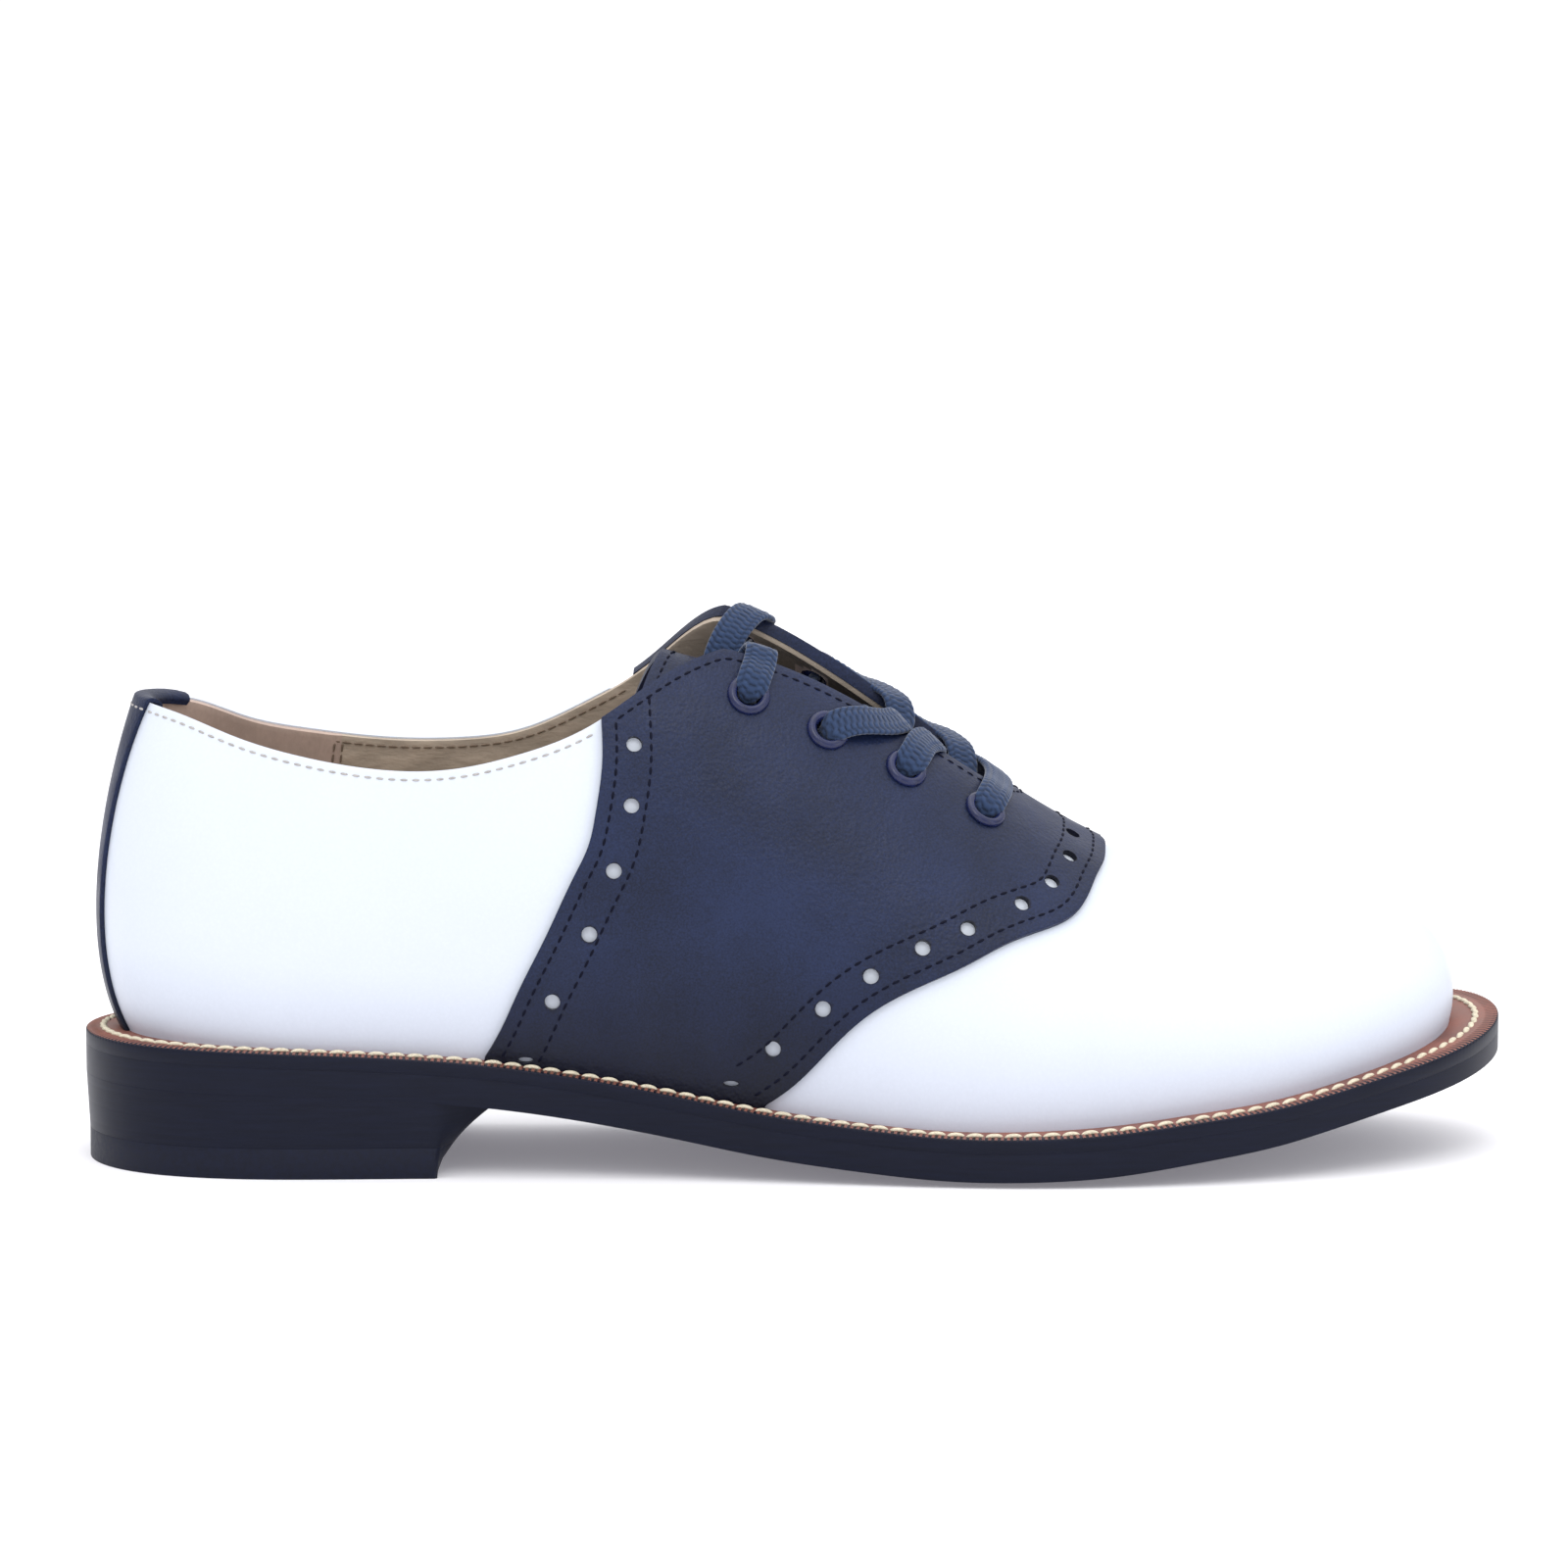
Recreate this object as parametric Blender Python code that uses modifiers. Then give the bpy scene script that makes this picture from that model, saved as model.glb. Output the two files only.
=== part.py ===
"""Laced saddle shoe, right foot: a white upper with a dark saddle on a stitched leather sole.

The shoe points along +X, its inner (medial) side is +Y, and it stands on z = 0. The forms are worked
out with the heel's back at x = 0 and placed with the middle of the sole's outline at the origin.
Every form comes from the driving sizes below. The upper, the saddle, the heel strip, the
tongue, the eyelets and the lace all lie on one surface, foot_surface, at their own depth.
"""
import math

import bmesh
import bpy
import numpy as np
from mathutils import Matrix, Vector

MM = 0.001

# Driving sizes
SOLE_LENGTH = 279 * MM
BALL_WIDTH = 97 * MM
HEEL_SEAT_HEIGHT = 25.6 * MM
INSTEP_HEIGHT = 105 * MM
TOE_SWING = 5 * MM
TOE_TWIST = 0.10
TWIST_SPAN = (0.84, 1.00)

GAP = 0.3 * MM
MIDSOLE_THICKNESS = 3.2 * MM
EDGE_HEEL = 8.6 * MM
EDGE_TOE = 7.0 * MM
EDGE_SPAN = (0.68, 0.92)
TREAD_CROWN = 1.5 * MM
CROWN_SPAN = (0.25, 0.45)
HEEL_LENGTH = 69 * MM
TOP_PIECE_THICKNESS = 6 * MM
BREAST_FLARE = 11 * MM
BREAST_INSET = 5 * MM
INSOLE_THICKNESS = 2.6 * MM
INSOLE_INSET = 3.2 * MM

UPPER_WALL = 2.0 * MM
OVERLAY_THICKNESS = 1.2 * MM
TONGUE_THICKNESS = 1.8 * MM
TONGUE_SAG = 7.6 * MM
HEEL_STRIP_HALF_WIDTH = 7.5 * MM
OVERLAY_FOOT = 0.025

EYELET_RADIUS = 4.25 * MM
EYELET_BORE = 2.35 * MM
EYELET_BARREL = 2.75 * MM
EYELET_HOLE = 3.1 * MM
EYELET_REACH = 4 * MM
EYELET_FLANGE = 0.6 * MM
LACE_WIDTH = 6.5 * MM
LACE_THICKNESS = 1.2 * MM
LACE_NECK = 3.6 * MM
LACE_CLEARANCE = 0.9 * MM

# Depths over (+) and under (-) the upper's outer face: an eyelet's seat, and the lace's middle
# over an eyelet, over a facing's edge and under the facing
EYELET_SEAT = GAP + OVERLAY_THICKNESS + GAP
LACE_OVER_EYELET = EYELET_SEAT + EYELET_FLANGE + GAP + LACE_THICKNESS / 2
LACE_OVER_EDGE = LACE_OVER_EYELET + 0.2 * MM
LACE_UNDER = -(UPPER_WALL + LACE_CLEARANCE + LACE_THICKNESS / 2)
TONGUE_DEPTH = LACE_THICKNESS / 2 - LACE_UNDER + 2 * GAP

# How finely the forms are cut into faces
COLUMNS = 36
HEEL_COLUMNS = 16
UPPER_ROWS = 10
SLAB_ROWS = 6
ROUND_SIDES = 12
LACE_STEPS = 11
SADDLE_COLUMNS_USED = (12, 28)

# Half widths of the sole, as shares of half the ball width
SOLE_COLUMNS = ("share", "lateral", "medial")
SOLE_ROWS = (
    (0.00, 0.000, 0.000),
    (0.03, 0.440, 0.440),
    (0.12, 0.672, 0.668),
    (0.25, 0.690, 0.650),
    (0.40, 0.772, 0.600),
    (0.52, 0.910, 0.695),
    (0.62, 1.020, 0.868),
    (0.70, 1.045, 0.955),
    (0.80, 0.975, 0.920),
    (0.90, 0.765, 0.760),
    (0.96, 0.520, 0.545),
    (1.00, 0.000, 0.000),
)

# Height of the sole's upper face along its length, as a share of the heel seat's height
SEAT_COLUMNS = ("share", "height")
SEAT_ROWS = (
    (0.00, 1.000),
    (0.14, 0.965),
    (0.22, 0.926),
    (0.29, 0.863),
    (0.35, 0.773),
    (0.42, 0.637),
    (0.47, 0.535),
    (0.54, 0.438),
    (0.59, 0.391),
    (0.65, 0.383),
    (0.71, 0.418),
    (0.77, 0.492),
    (0.85, 0.620),
    (0.90, 0.780),
    (0.95, 0.935),
    (1.00, 1.055),
)

# Sections of the foot surface: half widths as shares of half the ball width, heights of the swell
# over the seat, of the shoulder under the ridge and of the ridge as shares of the instep height
SECTION_COLUMNS = ("share", "feather_lateral", "feather_medial", "swell_lateral", "swell_medial",
                   "swell_height", "shoulder_lateral", "shoulder_medial", "shoulder_drop", "ridge_height")
SECTION_ROWS = (
    (0.00, 0.000, 0.000, 0.000, 0.000, 0.186, 0.000, 0.000, 0.314, 1.152),
    (0.03, 0.384, 0.384, 0.464, 0.464, 0.195, 0.330, 0.330, 0.295, 1.152),
    (0.12, 0.584, 0.579, 0.697, 0.689, 0.219, 0.505, 0.501, 0.229, 1.149),
    (0.25, 0.598, 0.557, 0.742, 0.701, 0.248, 0.557, 0.536, 0.124, 1.130),
    (0.37, 0.652, 0.524, 0.784, 0.691, 0.286, 0.495, 0.485, 0.043, 1.080),
    (0.48, 0.742, 0.557, 0.845, 0.722, 0.295, 0.433, 0.433, 0.010, 0.995),
    (0.60, 0.866, 0.701, 0.928, 0.804, 0.248, 0.454, 0.443, 0.000, 0.836),
    (0.71, 0.897, 0.814, 0.959, 0.887, 0.181, 0.515, 0.505, 0.000, 0.668),
    (0.81, 0.835, 0.794, 0.897, 0.856, 0.152, 0.526, 0.515, 0.000, 0.552),
    (0.90, 0.680, 0.652, 0.753, 0.722, 0.138, 0.464, 0.443, 0.000, 0.486),
    (0.96, 0.474, 0.452, 0.536, 0.509, 0.124, 0.340, 0.326, 0.000, 0.473),
    (1.00, 0.000, 0.000, 0.000, 0.000, 0.114, 0.000, 0.000, 0.000, 0.472),
)

# Where each level of the foot surface begins and ends, as shares of the sole's length
LEVEL_SPAN = {
    "feather": (0.027, 0.965),
    "swell": (-0.009, 0.977),
    "shoulder": (0.020, 0.946),
    "ridge": (0.090, 0.882),
}

# The upper's top edge, as a share of the way up each section
TOPLINE_COLUMNS = ("share", "lateral", "medial")
TOPLINE_ROWS = (
    (0.000, 0.705, 0.705),
    (0.040, 0.672, 0.680),
    (0.090, 0.617, 0.622),
    (0.140, 0.570, 0.580),
    (0.200, 0.530, 0.544),
    (0.260, 0.517, 0.528),
    (0.310, 0.537, 0.540),
    (0.360, 0.588, 0.600),
    (0.410, 0.690, 0.715),
    (0.456, 0.787, 0.930),
)
FACING_ROWS = (
    (0.456, 0.787, 0.930),
    (0.500, 0.803, 0.955),
    (0.550, 0.820, 0.955),
    (0.600, 0.838, 0.955),
    (0.650, 0.865, 0.962),
    (0.685, 0.900, 0.975),
    (0.711, 1.000, 1.000),
)

# The tongue: its top and foot along the length, how far its top corners reach back, how far it
# reaches down each side and narrows toward its foot, and where it sags and narrows
TONGUE_TOP = 0.407
TONGUE_FOOT = 0.760
TONGUE_CORNER = 0.020
TONGUE_RISE = 0.330
TONGUE_TAPER = 0.100
TONGUE_SAG_SPAN = (0.41, 0.60)
TONGUE_TAPER_SPAN = (0.60, 0.76)

# Side outline of the saddle: lengths as shares of the sole's length, heights of the instep height
SADDLE_COLUMNS = ("length", "height")
SADDLE_REAR_ROWS = (
    (0.360, 1.200),
    (0.362, 0.753),
    (0.358, 0.666),
    (0.353, 0.607),
    (0.343, 0.555),
    (0.324, 0.443),
    (0.305, 0.341),
    (0.284, 0.222),
    (0.262, 0.080),
)
SADDLE_FRONT_ROWS = (
    (0.440, 0.040),
    (0.473, 0.135),
    (0.517, 0.234),
    (0.542, 0.295),
    (0.571, 0.341),
    (0.641, 0.421),
    (0.672, 0.452),
    (0.696, 0.495),
    (0.711, 0.529),
    (0.718, 0.570),
    (0.713, 0.640),
)

# Eyelets, top pair first
EYELET_COLUMNS = ("share", "lateral", "medial")
EYELET_ROWS = (
    (0.476, 0.698, 0.852),
    (0.537, 0.697, 0.850),
    (0.598, 0.713, 0.842),
    (0.661, 0.737, 0.838),
)


def column(rows, columns, name):
    """One named column of a table."""
    place = columns.index(name)
    return [row[place] for row in rows]


def natural_curve(xs, ys):
    """Smooth curve through a table's points, straight at its two ends."""
    xs, ys = np.array(xs, float), np.array(ys, float)
    count = len(xs)
    step = np.diff(xs)
    matrix = np.eye(count)
    right = np.zeros(count)
    for i in range(1, count - 1):
        matrix[i, i - 1:i + 2] = step[i - 1], 2 * (step[i - 1] + step[i]), step[i]
        right[i] = 6 * ((ys[i + 1] - ys[i]) / step[i] - (ys[i] - ys[i - 1]) / step[i - 1])
    bend = np.linalg.solve(matrix, right)
    return spline_reader(xs, ys, bend, step)


def closed_curve(xs, ys, period):
    """Smooth curve through a table's points that runs on into itself."""
    xs, ys = np.array(xs, float), np.array(ys, float)
    count = len(xs)
    xs, ys = np.append(xs, xs[0] + period), np.append(ys, ys[0])
    step = np.diff(xs)
    slope = np.diff(ys) / step
    matrix = np.zeros((count, count))
    right = np.zeros(count)
    for i in range(count):
        matrix[i, i - 1] += step[i - 1]
        matrix[i, i] += 2 * (step[i - 1] + step[i])
        matrix[i, (i + 1) % count] += step[i]
        right[i] = 6 * (slope[i] - slope[i - 1])
    bend = np.linalg.solve(matrix, right)
    return spline_reader(xs, ys, np.append(bend, bend[0]), step)


def spline_reader(xs, ys, bend, step):
    """Function that reads a cubic spline from its knots and its second derivatives."""
    def read(x):
        x = min(max(x, xs[0]), xs[-1])
        i = min(max(int(np.searchsorted(xs, x, side="right")) - 1, 0), len(xs) - 2)
        low, high = x - xs[i], xs[i + 1] - x
        cubic = (bend[i] * high ** 3 + bend[i + 1] * low ** 3) / (6 * step[i])
        first = (ys[i] / step[i] - bend[i] * step[i] / 6) * high
        second = (ys[i + 1] / step[i] - bend[i + 1] * step[i] / 6) * low
        return float(cubic + first + second)
    return read


def around(rows, columns, lateral, medial, unit, signed=True):
    """A size round the shoe as a function of the angle: 0 at the heel, pi at the toe, medial past it."""
    angles = [math.acos(1 - 2 * share) for share in column(rows, columns, "share")]
    near = [(-value if signed else value) * unit for value in column(rows, columns, lateral)]
    far = [value * unit for value in column(rows, columns, medial)]
    turned = [2 * math.pi - angle for angle in angles[1:-1]]
    return closed_curve(angles + turned[::-1], near + far[1:-1][::-1], 2 * math.pi)


def share_at(angle):
    """Share of the length at an angle round the shoe."""
    return (1 - math.cos(angle)) / 2


def angle_at(share, side):
    """Angle round the shoe at a share of the length; side is -1 for lateral, 1 for medial."""
    angle = math.acos(1 - 2 * share)
    return angle if side < 0 else 2 * math.pi - angle


def ease(value):
    """Smooth step from 0 to 1."""
    value = min(max(value, 0.0), 1.0)
    return value * value * (3 - 2 * value)


def ease_over(share, span):
    """Smooth step from 0 to 1 over a span of the length."""
    start, end = span
    return ease((share - start) / (end - start))


def swing(share):
    """Sideways place of the shoe's middle line, which swings inward toward the toe."""
    return TOE_SWING * share ** 2


def outline_middle():
    """Sideways middle of the sole's outline."""
    sides = [sole_edge(math.pi * i / COLUMNS)[1] for i in range(2 * COLUMNS)]
    return (min(sides) + max(sides)) / 2


HALF_BALL = BALL_WIDTH / 2
sole_width = around(SOLE_ROWS, SOLE_COLUMNS, "lateral", "medial", HALF_BALL)
seat_height = natural_curve(column(SEAT_ROWS, SEAT_COLUMNS, "share"),
                            column(SEAT_ROWS, SEAT_COLUMNS, "height"))
SECTION = {
    level: around(SECTION_ROWS, SECTION_COLUMNS, level + "_lateral", level + "_medial", HALF_BALL)
    for level in ("feather", "swell", "shoulder")
}
HEIGHT = {
    name: around(SECTION_ROWS, SECTION_COLUMNS, name, name, INSTEP_HEIGHT, signed=False)
    for name in ("swell_height", "shoulder_drop", "ridge_height")
}
TOPLINE = {
    side: natural_curve(column(TOPLINE_ROWS, TOPLINE_COLUMNS, "share"),
                        column(TOPLINE_ROWS, TOPLINE_COLUMNS, side))
    for side in ("lateral", "medial")
}
FACING = {
    side: natural_curve(column(FACING_ROWS, TOPLINE_COLUMNS, "share"),
                        column(FACING_ROWS, TOPLINE_COLUMNS, side))
    for side in ("lateral", "medial")
}
FACING_START = FACING_ROWS[0][0]
THROAT_END = FACING_ROWS[-1][0]


def seat(x, y):
    """Height of the sole's upper face, twisted up on its inner side at the toe."""
    share = x / SOLE_LENGTH
    twist = TOE_TWIST * ease_over(share, TWIST_SPAN)
    return HEEL_SEAT_HEIGHT * seat_height(share) + twist * (y - swing(share))


def sole_edge(angle, inset=0.0):
    """Point of the sole's outline, drawn in by an inset."""
    share = share_at(angle)
    x = inset + (SOLE_LENGTH - 2 * inset) * share
    width = sole_width(angle)
    return x, swing(share) + width * (1 - inset / HALF_BALL)


def edge_height(x):
    """Height of the sole's side, welt and outsole together."""
    return EDGE_HEEL + (EDGE_TOE - EDGE_HEEL) * ease_over(x / SOLE_LENGTH, EDGE_SPAN)


def level_point(level, angle, height):
    """Control point of a section, on one of its four levels."""
    share = share_at(angle)
    start, end = LEVEL_SPAN[level]
    x = SOLE_LENGTH * (start + (end - start) * share)
    width = SECTION[level](angle) if level in SECTION else 0.0
    return np.array((x, swing(share) + width, height))


def ridge_slope(angle):
    """Rise of the ridge per length, faded out behind the ankle where nothing reaches the ridge."""
    angle = min(angle, 2 * math.pi - angle)
    angle = min(max(angle, 0.02), math.pi - 0.02)
    step = 0.001
    rise = HEIGHT["ridge_height"](angle + step) - HEIGHT["ridge_height"](angle - step)
    start, end = LEVEL_SPAN["ridge"]
    run = SOLE_LENGTH * (end - start) * (share_at(angle + step) - share_at(angle - step))
    return rise / run * ease((share_at(angle) - 0.05) / 0.3)


def section(angle):
    """The four control points of the section at an angle, from the feather edge to the ridge."""
    feather = level_point("feather", angle, 0.0)
    feather[2] = seat(feather[0], feather[1]) + GAP
    swell = level_point("swell", angle, feather[2] + HEIGHT["swell_height"](angle))
    ridge = level_point("ridge", angle, HEIGHT["ridge_height"](angle))
    shoulder = level_point("shoulder", angle, 0.0)
    reach = shoulder[0] - ridge[0]
    shoulder[2] = ridge[2] + ridge_slope(angle) * reach - HEIGHT["shoulder_drop"](angle)
    return feather, swell, shoulder, ridge


def foot_surface(angle, rise):
    """Point of the upper's outer face; rise runs from 0 at the feather edge to 1 at the ridge."""
    feather, swell, shoulder, ridge = section(angle)
    left = 1 - rise
    return (left ** 3 * feather + 3 * left ** 2 * rise * swell
            + 3 * left * rise ** 2 * shoulder + rise ** 3 * ridge)


def surface_normal(angle, rise):
    """Outward direction of the foot surface."""
    step = 0.004
    low, high = max(rise - step, 0.0), min(rise + step, 1.0)
    up = foot_surface(angle, high) - foot_surface(angle, low)
    along = foot_surface(angle + step, rise) - foot_surface(angle - step, rise)
    if rise > 1 - step:
        near = min(angle, 2 * math.pi - angle)
        behind, ahead = foot_surface(near - step, 1.0), foot_surface(min(near + step, math.pi), 1.0)
        along = ahead - behind
        up = np.array((0.0, 1.0, 0.0))
    out = np.cross(along, up)
    return out / np.linalg.norm(out)


def on_surface(angle, rise, depth=0.0):
    """Point at a depth outside (+) or inside (-) the foot surface."""
    point = foot_surface(angle, rise)
    if depth:
        point = point + depth * surface_normal(angle, rise)
    return point


def top_rise(share, side):
    """Rise of the upper's top edge: the topline, then the facing's edge, then the closed ridge."""
    name = "lateral" if side < 0 else "medial"
    if share >= THROAT_END - 1e-4:
        return 1.0
    if share <= FACING_START:
        return TOPLINE[name](share)
    return FACING[name](share)


def placed(item, group):
    """Puts an object into a collection, with the outline's middle at the origin."""
    item.location = (-SOLE_LENGTH / 2, -outline_middle(), 0.0)
    collection(group).objects.link(item)
    return item


def clear_scene():
    """Removes everything that the scene holds."""
    for item in list(bpy.data.objects):
        bpy.data.objects.remove(item, do_unlink=True)


def collection(name):
    """A collection of the scene, made once."""
    found = bpy.data.collections.get(name)
    if found is None:
        found = bpy.data.collections.new(name)
        bpy.context.scene.collection.children.link(found)
    return found


def material(name, colour, roughness, metallic=0.0):
    """Principled material, made once."""
    found = bpy.data.materials.get(name)
    if found is None:
        found = bpy.data.materials.new(name)
        found.use_nodes = True
        shader = found.node_tree.nodes["Principled BSDF"]
        shader.inputs["Base Color"].default_value = (*colour, 1.0)
        shader.inputs["Roughness"].default_value = roughness
        shader.inputs["Metallic"].default_value = metallic
    return found


def solid(name, points, faces, group="saddle_shoe"):
    """Object made of points and faces, with its faces turned outward."""
    mesh = bpy.data.meshes.new(name)
    mesh.from_pydata([tuple(point) for point in points], [], faces)
    work = bmesh.new()
    work.from_mesh(mesh)
    bmesh.ops.recalc_face_normals(work, faces=work.faces)
    work.to_mesh(mesh)
    work.free()
    return placed(bpy.data.objects.new(name, mesh), group)


def finish(item, look):
    """Gives a piece its material and smooth shading with sharp edges."""
    item.data.materials.clear()
    item.data.materials.append(look)
    item.data.shade_smooth()
    item.data.set_sharp_from_angle(angle=math.radians(35))
    return item


def as_cutter(item):
    """Marks an object as a cutter."""
    item.hide_render = True
    item.display_type = "WIRE"
    return item


def boolean(item, other, operation):
    """Adds an exact Boolean to a piece."""
    step = item.modifiers.new(operation.title(), "BOOLEAN")
    step.operation = operation
    step.solver = "EXACT"
    step.object = other


def thicken(item, thickness, offset):
    """Adds a Solidify: offset -1 grows inward, 1 outward."""
    step = item.modifiers.new("Wall", "SOLIDIFY")
    step.thickness = thickness
    step.offset = offset
    step.use_even_offset = True


def slab(name, edge, top, bottom, last=math.pi):
    """Solid between two faces over a ladder of cross lines from the heel to an angle."""
    steps = COLUMNS if last == math.pi else HEEL_COLUMNS
    points, faces, ladders = [], [], []
    for i in range(steps + 1):
        angle = last * i / steps
        near = edge(angle)
        far = edge(2 * math.pi - angle)
        pole = i == 0 or (i == steps and last == math.pi)
        rungs = []
        for j in range(1 if pole else SLAB_ROWS + 1):
            blend = 0.5 if pole else j / SLAB_ROWS
            x = near[0]
            y = near[1] + (far[1] - near[1]) * blend
            rungs.append(len(points))
            points.append((x, y, top(x, y, blend)))
            points.append((x, y, bottom(x, y, blend)))
        ladders.append(rungs)
    for one, two in zip(ladders, ladders[1:]):
        faces += ladder_faces(one, two)
    if last != math.pi:
        faces += [(a, b, b + 1, a + 1) for a, b in zip(ladders[-1], ladders[-1][1:])]
    return solid(name, points, faces)


def ladder_faces(one, two):
    """Faces between two cross lines of a slab: above, below and along both sides."""
    faces = []
    if len(one) == 1 or len(two) == 1:
        pole, line = (one[0], two) if len(one) == 1 else (two[0], one)
        for layer in (0, 1):
            faces += [(pole + layer, a + layer, b + layer) for a, b in zip(line, line[1:])]
        faces += [(pole, line[0], line[0] + 1, pole + 1), (pole, line[-1], line[-1] + 1, pole + 1)]
        return faces
    for layer in (0, 1):
        faces += [(a + layer, b + layer, d + layer, c + layer)
                  for a, b, c, d in zip(one, one[1:], two, two[1:])]
    for side in (0, -1):
        faces.append((one[side], two[side], two[side] + 1, one[side] + 1))
    return faces


def make_midsole(look):
    """Leather plate that carries the upper and shows round it as the stitched welt."""
    item = slab("midsole", sole_edge,
                lambda x, y, blend: seat(x, y),
                lambda x, y, blend: seat(x, y) - MIDSOLE_THICKNESS)
    return finish(item, look)


def tread_height(x, y, blend):
    """Height of the outsole's lower face, crowned across and flat where it meets the floor."""
    crown = TREAD_CROWN * (1 - (2 * blend - 1) ** 2) * ease_over(x / SOLE_LENGTH, CROWN_SPAN)
    return max(seat(x, y) - edge_height(x) - crown, 0.0)


def make_outsole(look):
    """Outsole, from the heel seat to the toe."""
    item = slab("outsole", sole_edge,
                lambda x, y, blend: seat(x, y) - MIDSOLE_THICKNESS - GAP,
                tread_height)
    return finish(item, look)


def heel_top(x, y, blend):
    """Height of the heel block's upper face, just under the outsole."""
    return tread_height(x, y, blend) - GAP


def make_heel(look):
    """Heel block with a flare at its breast that runs forward under the waist."""
    last = math.acos(1 - 2 * HEEL_LENGTH / SOLE_LENGTH)
    foot = TOP_PIECE_THICKNESS + GAP
    item = slab("heel", sole_edge, heel_top, lambda x, y, blend: foot, last)
    near = sole_edge(last)[1] + BREAST_INSET
    far = sole_edge(2 * math.pi - last)[1] - BREAST_INSET
    points, faces = [], []
    steps = 6
    for y in (near, far):
        for i in range(steps + 1):
            turn = math.pi / 2 * i / steps
            x = HEEL_LENGTH + BREAST_FLARE * (1 - math.cos(turn))
            ceiling = heel_top(x, y, 0.5)
            points.append((x, y, foot + (ceiling - foot) * math.sin(turn)))
        points.append((HEEL_LENGTH - MM, y, heel_top(HEEL_LENGTH - MM, y, 0.5)))
        points.append((HEEL_LENGTH - MM, y, foot))
    ring = steps + 3
    faces.append(tuple(range(ring)))
    faces.append(tuple(range(ring, 2 * ring)))
    faces += [(i, (i + 1) % ring, (i + 1) % ring + ring, i + ring) for i in range(ring)]
    flare = as_cutter(solid("breast_flare", points, faces, "cutters"))
    boolean(item, flare, "UNION")
    return finish(item, look)


def make_top_piece(look):
    """Lift that wears, under the heel block, flat on the floor."""
    last = math.acos(1 - 2 * HEEL_LENGTH / SOLE_LENGTH)
    item = slab("top_piece", sole_edge,
                lambda x, y, blend: TOP_PIECE_THICKNESS,
                lambda x, y, blend: 0.0, last)
    return finish(item, look)


def make_insole(look):
    """Insole inside the upper's lower edge."""
    def edge(angle):
        share = share_at(angle)
        start, end = LEVEL_SPAN["feather"]
        x = SOLE_LENGTH * (start + (end - start) * share)
        x += INSOLE_INSET * (1 - 2 * share)
        width = SECTION["feather"](angle)
        shrink = max(1 - INSOLE_INSET / max(abs(width), 1e-6), 0.0)
        return x, swing(share) + width * shrink
    item = slab("insole", edge,
                lambda x, y, blend: seat(x, y) + GAP + INSOLE_THICKNESS,
                lambda x, y, blend: seat(x, y) + GAP)
    return finish(item, look)


def skin(name, depth, first=0, last=COLUMNS, low=0.0):
    """Open sheet over the foot surface between two columns, joined along the closed ridge."""
    points, faces, sides = [], [], {}
    for side in (-1, 1):
        grid = []
        for i in range(first, last + 1):
            share = share_at(math.pi * i / COLUMNS)
            angle = math.pi * i / COLUMNS if side < 0 else 2 * math.pi - math.pi * i / COLUMNS
            top = top_rise(share, side)
            line = []
            for j in range(UPPER_ROWS + 1):
                shared = side > 0 and (i in (0, COLUMNS) or (j == UPPER_ROWS and top == 1.0))
                if shared:
                    line.append(sides[-1][i - first][j])
                    continue
                line.append(len(points))
                rise = low + (top - low) * j / UPPER_ROWS
                points.append(on_surface(angle, rise, depth))
            grid.append(line)
        sides[side] = grid
        for one, two in zip(grid, grid[1:]):
            for j in range(UPPER_ROWS):
                halves = [(one[j], two[j], two[j + 1]), (one[j], two[j + 1], one[j + 1])]
                faces += halves if side < 0 else [half[::-1] for half in halves]
    return sheet(name, points, faces)


def sheet(name, points, faces, group="saddle_shoe"):
    """Open sheet whose faces already point outward."""
    mesh = bpy.data.meshes.new(name)
    mesh.from_pydata([tuple(point) for point in points], [], faces)
    return placed(bpy.data.objects.new(name, mesh), group)


def make_upper(look, holes):
    """White vamp and quarters as one hollow wall, open at the collar, the throat and below."""
    item = skin("upper", 0.0)
    thicken(item, UPPER_WALL, -1)
    boolean(item, holes, "DIFFERENCE")
    return finish(item, look)


def make_saddle(look, holes):
    """Dark saddle over the waist and the instep, cut from the upper's own form just outside it."""
    first, last = SADDLE_COLUMNS_USED
    item = skin("saddle", GAP, first, last, OVERLAY_FOOT)
    thicken(item, OVERLAY_THICKNESS, 1)
    rows = SADDLE_REAR_ROWS + SADDLE_FRONT_ROWS + ((0.713, 1.200),)
    outline = [(length * SOLE_LENGTH, height * INSTEP_HEIGHT) for length, height in rows]
    count = len(outline)
    points = [(x, y, z) for y in (-BALL_WIDTH, BALL_WIDTH) for x, z in outline]
    faces = [tuple(range(count)), tuple(range(count, 2 * count))]
    faces += [(i, (i + 1) % count, (i + 1) % count + count, i + count) for i in range(count)]
    cutter = as_cutter(solid("saddle_outline", points, faces, "cutters"))
    boolean(item, cutter, "INTERSECT")
    boolean(item, holes, "DIFFERENCE")
    return finish(item, look)


def make_heel_strip(look):
    """Dark strip over the upper's back seam, from the welt to the topline."""
    points, faces = [], []
    across, rows = 6, UPPER_ROWS
    for j in range(rows + 1):
        for i in range(across + 1):
            offset = HEEL_STRIP_HALF_WIDTH * (2 * i / across - 1)
            top = top_rise(0.0, -1)
            rise = OVERLAY_FOOT + (top - OVERLAY_FOOT) * j / rows
            angle = angle_for_offset(offset, rise)
            points.append(on_surface(angle, rise, GAP))
    line = across + 1
    for j in range(rows):
        for i in range(across):
            a = j * line + i
            faces.append((a, a + line, a + line + 1, a + 1))
    item = sheet("heel_strip", points, faces)
    thicken(item, OVERLAY_THICKNESS, 1)
    return finish(item, look)


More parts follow.
